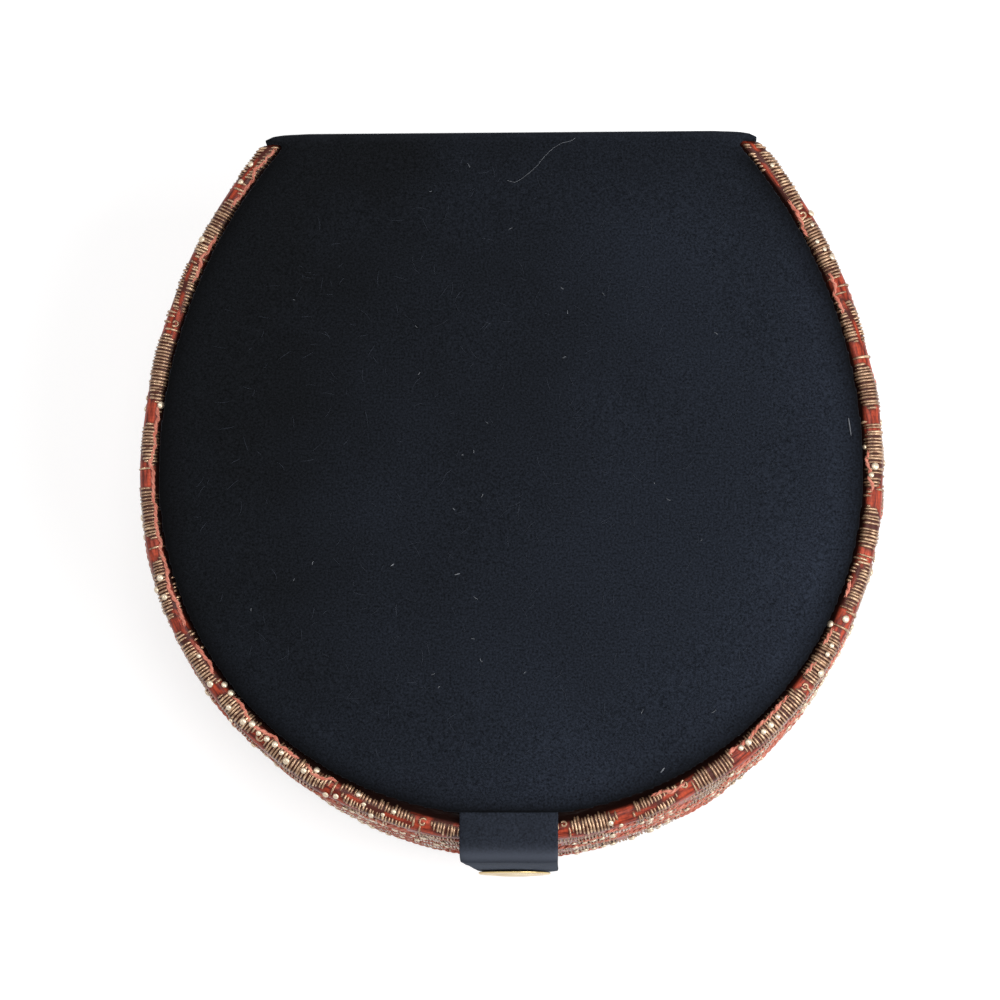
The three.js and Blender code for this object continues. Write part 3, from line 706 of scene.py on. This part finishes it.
def dotPoints(band, rng):
    # purl dots sit in short strings along the outer side of each row, and singly on the gaps
    points, facings = [], []
    low, high = 0.2, band["line"]["lengths"][-2]
    for row, centre in enumerate(band["rows"]):
        for i in range(int(2 * bandReach / weave["dotPitch"])):
            shake = rng.uniform(-weave["dotShake"], weave["dotShake"])
            along = -bandReach + 0.5 + i * weave["dotPitch"] + shake
            rare = 0.12
            if row == 0:  # on the rim most are left of the strap, few far round on the left
                rare += 0.22 * share((-along - 45) / 15) - 0.4 * bell(along + 27, 16)
            strung = waver(along * 0.12, row * 6.0, 2.0 + band["seed"]) > rare
            covered = abs(along) < weave["strapHalf"]
            if rng.random() < weave["strungShare" if strung else "singleShare"] and not covered:
                across = centre + 0.2 + 2.2 * waver(along * 0.3, row * 5.0, 4.0) + rng.uniform(-0.2, 0.2)
                across = min(max(across, low), high)
                points.append(clothPoint(band, along, across, weave["dotLift"]))
                above = clothPoint(band, along, across, weave["dotLift"] + 0.2)
                facings.append(Vector(above) - Vector(points[-1]))
    return points, facings


def makeBrocade(name, node, body, band, seed):
    rng = random.Random(seed)
    rows = leafPlan(band, rng)
    ground = makeGround(name + "Ground", band, rows)
    runs = leafRuns(band, rows, rng) + curlRuns(band, rows, rng)
    gold = growPiece(name + "Gold", guideLines(name + "GoldGuide", runs), threadTree, {
        "Thread Width": weave["width"] * mm, "Sides": 5, "Finish": giltMaterial})
    cord = growPiece(name + "Cord", guideLines(name + "CordGuide", cordRuns(band)), threadTree, {
        "Thread Width": weave["cordWidth"] * mm, "Sides": 6, "Finish": cordMaterial})
    points, facings = dotPoints(band, rng)
    dotGuide = guideLines(name + "PurlGuide", [([point], [1.0]) for point in points], facings)
    dots = growPiece(name + "Purl", dotGuide, dotTree, {
        "Dot Size": weave["dotSize"] * mm, "Flatness": weave["dotFlat"], "Size Spread": weave["dotSpread"],
        "Seed": seed, "Finish": purlGlintMaterial})
    for piece in (ground, gold, cord, dots):
        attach(piece, body)
    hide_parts(node)


makeBrocade("lidBrocade", "lid_brocade_band", "lid", lidBand, 11)
makeBrocade("baseBrocade", "base_brocade_band", "base", baseBand, 29)

# Padded cloth
wadding = {"large": 10, "frames": 20, "quality": 5, "mass": 0.02, "bending": 0.05, "cell": 2.4}


def insideLoop(x, y, sides):
    crossed = sum((a[1] > y) != (b[1] > y) and x < a[0] + (y - a[1]) * (b[0] - a[0]) / (b[1] - a[1])
                  for a, b in sides)
    return crossed % 2


def blownHeights(loop, slack, push):
    # a cloth held round its edge, a little larger than its frame, swelled by the wadding under it;
    # simulated larger than life, and given back as a height in millimetres over any place on the plan
    large, cell = wadding["large"] * mm, wadding["cell"]
    edge = [Vector(spot) for spot in loop]
    sides = list(zip(loop, loop[1:] + loop[:1]))
    points = list(edge)
    half, near, far = max(x for x, _ in loop), min(y for _, y in loop), max(y for _, y in loop)
    rowStep = cell * math.sqrt(0.75)
    for row in range(1, int((far - near) / rowStep)):
        y = near + row * rowStep
        for step in range(int(2 * half / cell)):
            x = -half + cell * (step + 0.5 * (row % 2))
            if insideLoop(x, y, sides) and min((Vector((x, y)) - spot).length for spot in edge) > 0.7 * cell:
                points.append(Vector((x, y)))
    ring = [(i, (i + 1) % len(loop)) for i in range(len(loop))]
    spots, _, triangles, *_ = geometry.delaunay_2d_cdt(points, ring, [], 1, 1e-5)
    mesh = bpy.data.meshes.new("blownCloth")
    mesh.from_pydata([(spot.x * large, spot.y * large, 0.0) for spot in spots], [], triangles)
    cloth = linkPiece("blownCloth", mesh)
    held = [i for i, spot in enumerate(spots) if min((spot - other).length for other in edge) < 0.01]
    cloth.vertex_groups.new(name="held").add(held, 1.0, "REPLACE")
    swell = cloth.modifiers.new("swell", "CLOTH")
    swell.settings.quality, swell.settings.mass = wadding["quality"], wadding["mass"]
    swell.settings.bending_stiffness = wadding["bending"]
    swell.settings.vertex_group_mass = "held"
    swell.settings.shrink_min = -slack
    swell.settings.use_pressure, swell.settings.uniform_pressure_force = True, push
    swell.settings.effector_weights.gravity = 0
    swell.collision_settings.use_collision = False
    swell.point_cache.frame_start, swell.point_cache.frame_end = 1, wadding["frames"]
    for step in range(1, wadding["frames"] + 1):
        scene.frame_set(step)
    blown = cloth.evaluated_get(bpy.context.evaluated_depsgraph_get()).data
    corners = [vertex.co / large for vertex in blown.vertices]
    skin = BVHTree.FromPolygons(corners, [tuple(face.vertices) for face in blown.polygons])
    print("cloth blown:", len(spots), "points, up to", round(max(corner.z for corner in corners), 2), "mm")
    bpy.data.objects.remove(cloth)
    bpy.data.meshes.remove(mesh)
    scene.frame_set(1)

    def heightAt(x, y):
        hit = skin.ray_cast(Vector((x, y, 100)), Vector((0, 0, -1)))[0]
        return hit.z if hit else 0.0

    return heightAt


def cappedSwell(height, crown):
    # the wadding lets the cloth rise only this far
    return crown * math.tanh(height / (3 * crown))


# Velvet cover: the lid's crowned panel and the back strip with its rounded corners, in one cloth
cover = {
    "inset": 2.65, "bottom": 37.0, "crown": 0.75, "back": 46.5, "slack": 0.006, "push": 4.0,
    # rolled edge of the panel as (further in, rise), then the rings of its top as shares of the way out
    "edge": ((1.1, 0.0), (0.35, 0.02), (0.08, 0.2), (0.0, 0.45), (0.06, 0.72), (0.25, 0.96), (0.6, 1.14),
             (1.1, 1.22)),
    "rings": (0.98, 0.96, 0.94, 0.91, 0.88, 0.84, 0.8, 0.75, 0.69, 0.62, 0.54, 0.45, 0.36, 0.26, 0.16, 0.06),
    "thickness": 1.0, "returnTo": 45.15, "returnThickness": 0.75, "spineBottom": 1.2, "spineTop": 38.15,
    "shoulder": 35.8, "shoulderInset": 3.2, "fold": 20.0, "slit": 0.45, "foldDepth": 0.45, "foldWidth": 0.9,
    "frontDips": ((0.5, 30), (0.55, 6)), "cut": 0.95,
    # steps round a back corner as (further in, short of the back), over the top edge as (drop, further in)
    "corner": ((0.0, 9.0), (0.1, 0.8), (0.55, 0.35), (1.5, 0.1), (3.0, 0.0)),
    "topEdge": ((1.0, 0.0), (0.6, 0.08), (0.3, 0.25), (0.1, 0.5), (0.0, 0.8)),
    "voxel": 0.5, "unevenness": 0.08}


def frontDip(along):
    # the panel stands back a little in front, most over the strap
    return sum(depth * bell(along, width) for depth, width in cover["frontDips"])


def panelRings():
    # the edge is a roll, and the top is the blown cloth
    rings = []
    for inset, rise in cover["edge"]:
        loop = closedLoop(cover["inset"] + inset, cover["back"] - inset, 200, 60, 2, frontDip)
        rings.append([(x, y, cover["bottom"] + rise) for x, y in loop])
    rim = rings[-1]
    roll = cover["edge"][-1][0]
    frameLoop = closedLoop(cover["inset"] + roll, cover["back"] - roll, 120, 36, 2, frontDip)
    heightAt = blownHeights(frameLoop, cover["slack"], cover["push"])
    for f in cover["rings"]:
        rings.append([(x * f, y * f, z + cappedSwell(heightAt(x * f, y * f), cover["crown"]))
                      for x, y, z in rim])
    return rings


def sidePoint(inset, y):
    return math.sqrt((plan["sideRadius"] - inset) ** 2 - y * y) - sideShift, y


def spineRing(z, tip, innerInset, drawn=0.0):
    # section from the right tip round the corner, along the back and round the left one;
    # drawn is how far its outer side stands in
    back, inner = cover["back"] - drawn, cover["back"] - cover["thickness"]
    front = min(tip, back - 0.15)
    outside = [sidePoint(drawn + inset, max(front + 0.02 * i, back - short))
               for i, (inset, short) in enumerate(cover["corner"])]
    inside = [sidePoint(innerInset, inner), sidePoint(innerInset, min(front, inner - 0.02))]
    mirrored = [(-x, y) for x, y in reversed(outside)] + [(-x, y) for x, y in reversed(inside)]
    return [(x, y, z) for x, y in outside + mirrored + inside]


def spineRings():
    low, high = cover["fold"] - cover["slit"], cover["fold"] + cover["slit"]
    thin, tip = cover["returnThickness"], cover["returnTo"]
    cut = cover["back"] - cover["cut"]  # the returns are cut at the fold
    levels = [(cover["spineBottom"], tip, thin), (low - 0.05, tip, thin), (low, cut, thin), (high, cut, thin),
              (high + 0.05, tip, thin), (cover["shoulder"] - 0.05, tip, thin),
              (cover["shoulder"], tip, cover["shoulderInset"])]
    for drop, drawn in cover["topEdge"]:
        levels.append((cover["spineTop"] - drop, tip, cover["shoulderInset"], drawn))
    return [spineRing(*level) for level in levels]


def coverBruiseAndHighlight(x, y, z):
    # worn, and lighter with a painted highlight, along the fold and along the edge above it
    rub = 0.5 + 0.5 * waver(x * 0.25, z * 0.5, 7.0)
    if y > 45 and z < 36:
        return 0.5 * rub * bell(z - cover["fold"], cover["foldWidth"])
    return 0.1 * rub * min(y - 44.8, 1.0) * bell(z - 38.0, 0.5) if y > 44.8 else 0.0


def coverGrooveShade(x, y, z):
    # painted shade in the groove beside the brocade
    if z <= 36.5:
        return 0.0
    centre, radius = (0.0, plan["frontRadius"]) if y < 0 else (-sideShift, plan["sideRadius"])
    edge = radius - math.hypot(abs(x) - centre, y)
    return 0.9 * share((7 - edge) / 3) * share((44.5 - y) / 2.5) * share((38.55 - z) / 0.6)


panel = loftPiece("velvetPanel", panelRings(), velvetMaterial)
spine = loftPiece("velvetSpine", spineRings(), velvetMaterial, fan=False)
join = panel.modifiers.new("join", "BOOLEAN")
join.operation, join.solver, join.object = "UNION", "EXACT", spine
remesh = panel.modifiers.new("even", "REMESH")
remesh.mode, remesh.voxel_size, remesh.use_smooth_shade = "VOXEL", cover["voxel"] * mm, True
relax = panel.modifiers.new("relax", "SMOOTH")
relax.factor, relax.iterations = 0.5, 4
velvetCover = bakedMesh(panel, "velvetCover")
bpy.data.objects.remove(spine)
for vertex in velvetCover.data.vertices:
    x, y, z = vertex.co / mm
    if y > 46 and z < 36:  # a shallow crease along the fold
        vertex.co.y -= mm * cover["foldDepth"] * bell(z - cover["fold"], cover["foldWidth"])
    elif z > 37.9:
        vertex.co.z += mm * cover["unevenness"] * waver(x * 0.07, y * 0.07, 2.0)
velvetCover.data.materials.clear()
velvetCover.data.materials.append(velvetMaterial)
carry(velvetCover.data, "bruiseAndHighlight", [coverBruiseAndHighlight(*(vertex.co / mm)) for vertex in velvetCover.data.vertices])
carry(velvetCover.data, "paintedShade", [coverGrooveShade(*(vertex.co / mm)) for vertex in velvetCover.data.vertices])
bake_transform(velvetCover)
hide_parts("lid_velvet", "lid_wadding", "spine_upper", "spine_lower")
print("velvet cover made:", len(velvetCover.data.polygons), "faces")

# Strap: doubled velvet, tucked under the panel, bent over the rim, hanging with a rounded end
strap = {
    "width": 13.0, "endWidth": 11.2, "thickness": 0.74, "tuckedFrom": -44.0, "bendY": -50.0, "bendZ": 35.1,
    "bendRadius": 2.25, "end": 8.1, "tipRadius": 4.6, "skew": 0.4, "puff": 0.12, "sunk": 0.3, "flat": 36.5,
    "around": 40, "tuckSteps": 12, "bendSteps": 16, "hangSteps": 60}


def strapPath():
    # (y, z, lean) from the tuck over the bend and down, with closer steps towards the end
    path = []
    top = strap["bendZ"] + strap["bendRadius"]
    for i in range(strap["tuckSteps"]):
        y = strap["tuckedFrom"] + (strap["bendY"] - strap["tuckedFrom"]) * i / strap["tuckSteps"]
        path.append((y, top - strap["sunk"] * bell(y + 46.4, 1.5), 0.0))
    for i in range(strap["bendSteps"] + 1):
        angle = math.radians(90 * i / strap["bendSteps"])
        path.append((strap["bendY"] - strap["bendRadius"] * math.sin(angle),
                     strap["bendZ"] + strap["bendRadius"] * math.cos(angle), math.degrees(angle)))
    drop = strap["bendZ"] - strap["end"]
    for i in range(1, strap["hangSteps"] + 1):
        f = 1 - (1 - i / strap["hangSteps"]) ** 1.15
        path.append((strap["bendY"] - strap["bendRadius"], strap["bendZ"] - drop * f, 90.0))
    return path


def strapRings():
    rings = []
    for y, z, lean in strapPath():
        hanging = share((strap["bendZ"] + 2 - z) / (strap["bendZ"] - strap["end"]))
        half = (strap["width"] + (strap["endWidth"] - strap["width"]) * hanging) / 2
        left, tip = z - strap["end"], strap["tipRadius"]
        if lean >= 90 and left < tip:  # rounded end
            half = max(0.12, (half - tip) + tip * math.sqrt(max(1 - (1 - left / tip) ** 2.2, 0.0)))
        shift = strap["skew"] * hanging ** 1.4
        thick = strap["thickness"] / 2 * (0.5 if z > 37.3 and y > -46.9 else 1.0)  # single under the panel
        turn = math.radians(lean)
        ring = []
        for i in range(strap["around"]):
            angle = math.tau * i / strap["around"]
            c, s = math.cos(angle), math.sin(angle)
            across = math.copysign(abs(c) ** 0.25, c) * half
            deep = math.copysign(abs(s) ** 0.45, s) * thick
            deep += strap["puff"] * 0.5 * waver(across * 0.35, z * 0.3, y * 0.3)
            ring.append((across + shift, y - deep * math.sin(turn), z + deep * math.cos(turn)))
        rings.append(ring[::-1])
    return rings


def strapBruiseAndHighlight(x, y, z):
    # 0 on top of the bend, a quarter turn on the hang
    turn = math.atan2(strap["bendY"] - y, z - strap["bendZ"])
    # lighter on the front of the bend with opened pile and a painted highlight, and a little lighter all over
    return 0.08 + 0.64 * bell(turn - 0.85, 0.45)


def strapUnderBendShade(x, y, z):
    return 0.75 * bell(z - strap["bendZ"] + 2.4, 2.2)  # painted shade on the hang under the bend


tabStrap = loftPiece("tabStrap", strapRings(), velvetMaterial)
carry(tabStrap.data, "bruiseAndHighlight", [strapBruiseAndHighlight(*(vertex.co / mm)) for vertex in tabStrap.data.vertices])
carry(tabStrap.data, "paintedShade", [strapUnderBendShade(*(vertex.co / mm)) for vertex in tabStrap.data.vertices])
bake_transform(tabStrap)
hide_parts("tab_root", "tab_strap")
print("strap made:", len(tabStrap.data.polygons), "faces")

# Press stud: cap and socket on the strap, stud and post on the front wall;
# each is turned from (radius, forward) pairs, walked from the back of the axis round to its front
snap = {
    "height": 14.3, "segments": 56, "capBack": 52.8, "socketMouth": 51.15, "studBack": 50.2,
    "cap": [(0.3, -0.88), (0.86, -0.88), (0.9, -0.8), (0.9, -0.04), (4.7, 0.0), (4.92, 0.03), (5.0, 0.1),
            (5.0, 0.2), (4.93, 0.29), (4.78, 0.34), (4.62, 0.33), (4.45, 0.31), (3.6, 0.43), (2.4, 0.54),
            (1.2, 0.59), (0.3, 0.6)],
    "socket": [(2.3, 0.0), (2.2, 0.08), (2.2, 0.5), (2.26, 0.55), (4.2, 0.55), (4.36, 0.5), (4.4, 0.4),
               (4.36, 0.28), (4.1, 0.22), (3.4, 0.17), (3.1, 0.05), (2.9, 0.0)],
    "stud": [(1.2, 0.0), (3.9, 0.0), (4.0, 0.06), (4.0, 0.16), (3.9, 0.24), (1.7, 0.25), (1.52, 0.3),
             (1.56, 0.39), (1.74, 0.5), (1.8, 0.57), (1.72, 0.66), (1.4, 0.75), (1.25, 0.75)]}


def turnedPiece(name, profile, foot, capped):
    rings = []
    for radius, forward in profile:
        angles = [math.tau * i / snap["segments"] for i in range(snap["segments"])]
        rings.append([(radius * math.cos(angle), -foot - forward, snap["height"] + radius * math.sin(angle))
                      for angle in angles])
    return loftPiece(name, rings, brassMaterial, capped)


snapCap = turnedPiece("snapCap", snap["cap"], snap["capBack"], True)
snapSocket = turnedPiece("snapSocket", snap["socket"], snap["socketMouth"], False)
snapStud = turnedPiece("snapStud", snap["stud"], snap["studBack"], False)
for piece, node, body in (
        (snapCap, "snap_cap", "tab"), (snapSocket, "snap_socket", "tab"), (snapStud, "snap_stud", "base")):
    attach(piece, body)
    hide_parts(node)
print("press stud made")

# Lining: card collar in satin, lid walls in satin, padded floor and lid
lining = {
    "backReach": 45.7, "collar": (3.2, 4.6), "collarFoot": 4.45, "collarTop": 23.8, "collarRoll": 0.6,
    "wall": (2.88, 3.6), "skirt": 3.05, "wallFoot": 20.95, "wallStep": 24.4, "wallTop": 33.55,
    "wallLength": 285.0, "ripple": 0.07, "wave": 0.5}


def liningPiece(name, section):
    # closed section of (inset, z, slack) swept round the inside, up its outer face and down its inner one;
    # where there is slack the cloth stands off its card in soft upright waves
    rings = []
    for inset, z, slack in section:
        loop = closedLoop(inset, lining["backReach"] - inset, 190, 56, 4,
                          lambda along: slack * lining["wave"] * waver(along * 0.17, z * 0.05, 6.0))
        rings.append([(x, y, z + lining["ripple"] * waver(x * 0.3, y * 0.3, z)) for x, y in loop])
    return loftPiece(name, rings, satinMaterial, capped=False)


outer, inner = lining["collar"]
foot, roll = lining["collarFoot"], lining["collarRoll"]
top = lining["collarTop"] - roll
collarSection = [(outer, foot + (top - foot) * i / 8, 0.0) for i in range(9)]
for i in range(1, 8):  # the satin rolls over the collar's top edge
    angle = math.pi * (1 - i / 8)
    middle, half = (outer + inner) / 2, (inner - outer) / 2
    collarSection.append((middle + half * math.cos(angle), top + roll * math.sin(angle), 0.0))
collarSection += [(inner, top - (top - foot) * i / 14, math.sin(math.pi * i / 14)) for i in range(15)]
satinCollar = liningPiece("satinCollar", collarSection)
outer, inner = lining["wall"]
foot, step, top = lining["wallFoot"], lining["wallStep"], lining["wallTop"]
wallSection = [(outer, foot + (top - foot) * i / 8, 0.0) for i in range(9)]
wallSection += [(inner, top - (top - step - 0.5) * i / 10, math.sin(math.pi * i / 10)) for i in range(11)]
wallSection += [(inner - 0.08, step + 0.2, 0.0), (inner - 0.3, step + 0.02, 0.0),
                (lining["skirt"], step - 0.1, 0.0), (lining["skirt"], foot, 0.0)]
satinWall = liningPiece("satinWall", wallSection)

pads = {
    "floor": {"inset": 4.85, "foot": 4.45, "rise": 1.55, "crown": 0.6, "way": 1, "puckers": 34, "slack": 0.01,
              "push": 4.0},
    "lid": {"inset": 3.85, "foot": 33.55, "rise": 1.35, "crown": 0.4, "way": -1, "puckers": 40, "slack": 0.03,
            "push": 6.0},
    "edge": [(0.9, 0.0), (0.2, 0.08), (0.0, 0.4), (0.02, 0.8), (0.2, 1.15), (0.6, 1.4), (1.2, 1.5)],
    "rings": (0.98, 0.955, 0.93, 0.9, 0.86, 0.81, 0.74, 0.66, 0.56, 0.45, 0.32, 0.18, 0.06),
    "gather": 0.15, "sag": 0.1}


def padPiece(name, pad, material):
    rings = []
    reach = lining["backReach"] - pad["inset"]
    edgeInset, edgeRise = pads["edge"][-1]
    for inset, rise in pads["edge"]:
        loop = closedLoop(pad["inset"] + inset, reach - inset, 190, 56, 5)
        rings.append([(x, y, pad["rise"] * rise / edgeRise) for x, y in loop])
    frameInset = pad["inset"] + edgeInset
    frameLoop = closedLoop(frameInset, lining["backReach"] - frameInset, 110, 34, 3)
    heightAt = blownHeights(frameLoop, pad["slack"], pad["push"])
    for f in pads["rings"]:
        ring = []
        for x, y in loop:
            inside = (1 - f) * math.hypot(x, y)
            swell = cappedSwell(heightAt(x * f, y * f), pad["crown"])
            turn = pad["puckers"] * math.atan2(y, x) + 3 * waver(x * 0.12, y * 0.12, 8.0)
            gather = pads["gather"] * math.cos(turn) * bell(inside - 2.0, 2.4)
            sag = pads["sag"] * waver(x * f * 0.08, y * f * 0.08, pad["foot"])
            ring.append((x * f, y * f, pad["rise"] + swell + gather + sag))
        rings.append(ring)
    placed = [[(x, y, pad["foot"] + pad["way"] * h) for x, y, h in ring] for ring in rings]
    return loftPiece(name, placed if pad["way"] > 0 else placed[::-1], material)


floorPad = padPiece("floorPad", pads["floor"], velvetMaterial)
lidPad = padPiece("lidPad", pads["lid"], satinMaterial)
for piece, node, body, slot in (
        (satinCollar, "base_collar", "base", "satin"), (satinWall, "lid_wall_lining", "lid", "satin"),
        (floorPad, "floor_pad", "base", "velvet"), (lidPad, "lid_lining_pad", "lid", "satin")):
    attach(piece, body)
    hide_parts(node)
print("lining made")

# Hinge cloth: a flat strip of binding between the back boards and the velvet, across the fold
binding = {
    "half": 29.3, "front": 44.92, "back": 45.28, "bottom": 9.0, "top": 31.0, "steps": 66, "columns": 24}
bindingRings = []
across = [binding["half"] * (2 * k / binding["columns"] - 1) for k in range(binding["columns"] + 1)]
for i in range(binding["steps"] + 1):
    z = binding["bottom"] + (binding["top"] - binding["bottom"]) * i / binding["steps"]
    bindingRings.append(
        [(x, binding["front"], z) for x in across] + [(x, binding["back"], z) for x in reversed(across)])
hingeBinding = loftPiece("hingeBinding", bindingRings, cottonMaterial, fan=False)
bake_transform(hingeBinding)
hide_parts("hinge_cloth")
print("hinge binding made")

# Felt under the base, its cut edge a little soft
feltLow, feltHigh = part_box("base_felt")
felt = {
    "inset": plan["frontRadius"] - feltHigh.x / mm, "back": feltHigh.y / mm, "thickness": feltHigh.z / mm,
    "edge": ((0.5, 0.0), (0.08, 0.1), (0.0, 0.4), (0.0, 0.7), (0.1, 0.92), (0.5, 1.0)),
    "rings": (0.85, 0.6, 0.3, 0.05)}
feltRings = []
for inset, z in felt["edge"]:
    loop = closedLoop(felt["inset"] + inset, felt["back"] - inset, 190, 56, 2)
    feltRings.append([(x, y, felt["thickness"] * z) for x, y in loop])
under = [[(x * f, y * f, 0.0) for x, y, _ in feltRings[0]] for f in reversed(felt["rings"])]
upper = [[(x * f, y * f, felt["thickness"]) for x, y, _ in feltRings[-1]] for f in felt["rings"]]
feltSole = loftPiece("feltSole", under + feltRings + upper, feltMaterial)
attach(feltSole, "base")
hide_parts("base_felt")

# Lint and stray fibres on the velvet, and one long hair near the back
lint = {
    "fibres": 420, "specks": 30, "width": 0.05, "seed": 17, "reach": 43.0,
    "fibre": ((0.5, 2.2), 0.9), "speck": ((0.2, 0.8), 1.5),  # lengths, and the most that one bends
    "strandSizes": [0.5, 0.9, 1.0, 0.9, 0.5], "markSizes": [1.2, 2.0, 2.4, 2.0, 1.2], "hairSize": 0.55,
    # the marks that show most: x, y, length, turn
    "marks": ((-15.7, -13.5, 0.5, 0.6), (20.0, -40.9, 0.8, 0.9), (45.6, 4.0, 2.4, 1.7),
              (-7.2, -14.7, 0.7, 0.2)),
    "hair": ((8.85, 45.3), (8.3, 44.9), (7.08, 44.6), (5.9, 43.9), (4.77, 42.79), (3.8, 41.5), (2.74, 40.43),
             (1.7, 39.6), (0.71, 39.0), (-0.4, 39.3))}
surface = BVHTree.FromObject(velvetCover, bpy.context.evaluated_depsgraph_get())


def onVelvet(x, y, lift):
    hit = surface.ray_cast(Vector((x, y, 60)) * mm, Vector((0, 0, -1)))[0]
    return (x, y, hit.z / mm + lift) if hit and hit.z > 37.5 * mm else None


rng = random.Random(lint["seed"])
faint, bright = [], []
while len(faint) < lint["fibres"] or len(bright) < lint["specks"]:
    x, y = rng.uniform(-lint["reach"], lint["reach"]), rng.uniform(-lint["reach"], lint["reach"])
    fine = len(faint) < lint["fibres"]
    runs, (lengths, most) = (faint, lint["fibre"]) if fine else (bright, lint["speck"])
    length, turn, bend = rng.uniform(*lengths), rng.uniform(0, math.tau), rng.uniform(-most, most)
    points = []
    for i in range(5):
        points.append(onVelvet(x, y, 0.05))
        x += math.cos(turn + bend * i / 4) * length / 4
        y += math.sin(turn + bend * i / 4) * length / 4
    if all(points) and math.hypot(x, y) < lint["reach"]:
        runs.append((points, lint["strandSizes"]))
for x, y, length, turn in lint["marks"]:
    steps = [length * i / 4 for i in range(5)]
    points = [onVelvet(x + math.cos(turn) * step, y + math.sin(turn) * step, 0.08) for step in steps]
    bright.append((points, lint["markSizes"]))
bright.append(([onVelvet(x, y, 0.12) for x, y in lint["hair"]], [lint["hairSize"]] * len(lint["hair"])))
for name, runs, width, finish in (
        ("faintFibres", faint, 1.0, fibreMaterial), ("brightLint", bright, 1.5, lintMaterial)):
    piece = growPiece(name, guideLines(name + "Guide", runs), threadTree, {
        "Thread Width": width * lint["width"] * mm, "Sides": 4, "Finish": finish})
    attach(piece, "lid")
print("lint laid:", len(faint), "fibres,", len(bright), "specks")

# Solids that stay as they are: boards, packing and the stud's post
finishes = {  # the back boards' edges show at the fold, so they are covered with the binding cloth
    "base_board": boardMaterial, "base_wall_board": boardMaterial, "base_packing": boardMaterial,
    "lid_top_board": boardMaterial, "lid_wall_board": boardMaterial,
    "base_back_board": cottonMaterial, "lid_back_board": cottonMaterial, "snap_post": brassMaterial}
for name, finish in finishes.items():
    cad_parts[name].data.materials.clear()
    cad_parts[name].data.materials.append(finish)
print("boards finished")

# Floor, light and camera
stage = {
    "floor": 1600.0, "lift": 0.7, "ambient": 0.23,
    "lamps": {  # place in metres, size, watts
        "overhead": ((0.02, 0.08, 0.8), 0.35, 1.8),
        "rightSoftbox": ((0.4, -0.16, 0.36), 0.55, 2.9),
        "leftSpot": ((-0.42, 0.02, 0.34), 0.05, 0.25)}}


def seenRays(tree):
    # 1 where the camera looks, straight or by way of metal and glass
    ray = addNode(tree, "ShaderNodeLightPath")
    seen = ray.outputs["Is Camera Ray"]
    for kind in ("Is Glossy Ray", "Is Transmission Ray"):
        either = addNode(tree, "ShaderNodeMath", {0: seen, 1: ray.outputs[kind]}, operation="MAXIMUM")
        seen = either.outputs[0]
    return seen


# pale backdrop paper: white to the eye and in reflections, and it keeps the shadow of the case
floorMaterial, tree = startMaterial("paleBackdropPaper")
glow = addNode(tree, "ShaderNodeMath", {0: seenRays(tree), 1: stage["lift"]}, operation="MULTIPLY")
endMaterial(tree, {
    "Base Color": linear("#bcbcbc"), "Roughness": 0.9, "Specular IOR Level": 0.1,
    "Emission Color": linear("#ffffff"), "Emission Strength": glow.outputs[0]})
wide = stage["floor"]
floorCorners = [(-wide, -wide, 0), (wide, -wide, 0), (wide, wide, 0), (-wide, wide, 0)]
floor = makePiece("floor", floorCorners, [(0, 1, 2, 3)], floorMaterial)

world = bpy.data.worlds.new("studio")
scene.world = world
world.use_nodes = True
tree = world.node_tree
tree.nodes.clear()
ambient = addNode(tree, "ShaderNodeMapRange", {0: seenRays(tree), 3: stage["ambient"], 4: 1.0})
sky = addNode(tree, "ShaderNodeBackground", {"Color": linear("#ffffff"), "Strength": ambient.outputs[0]})
addNode(tree, "ShaderNodeOutputWorld", {"Surface": sky.outputs[0]})

for name, (spot, size, watts) in stage["lamps"].items():
    data = bpy.data.lights.new(name, "AREA")
    data.shape, data.size, data.energy = "DISK", size, watts
    lamp = linkPiece(name, data)
    lamp.location = spot
    lamp.rotation_euler = (Vector((0, 0, 0.03)) - Vector(spot)).to_track_quat("-Z", "Y").to_euler()

shot = {  # degrees and millimetres
    "tilt": 9.667, "azimuth": 13.333, "roll": -13.351, "lens": 113.4, "sensor": 36.0, "distance": 420.8,
    "target": (-1.239, -4.491, 38.0)}
tilt, azimuth, roll = (math.radians(shot[key]) for key in ("tilt", "azimuth", "roll"))
back = Vector((math.sin(azimuth) * math.sin(tilt), -math.cos(azimuth) * math.sin(tilt), math.cos(tilt)))
level = Vector((-math.sin(azimuth) * math.cos(tilt), math.cos(azimuth) * math.cos(tilt), math.sin(tilt)))
right = (-back).cross(level)
turnedRight = math.cos(roll) * right + math.sin(roll) * level
turnedUp = -math.sin(roll) * right + math.cos(roll) * level
cameraData = bpy.data.cameras.new("camera")
cameraData.lens, cameraData.sensor_width, cameraData.clip_start = shot["lens"], shot["sensor"], 0.01
camera = linkPiece("camera", cameraData)
pose = Matrix((turnedRight, turnedUp, back)).transposed().to_4x4()
pose.translation = (Vector(shot["target"]) + shot["distance"] * back) * mm
camera.matrix_world = pose
scene.camera = camera
print("stage set")
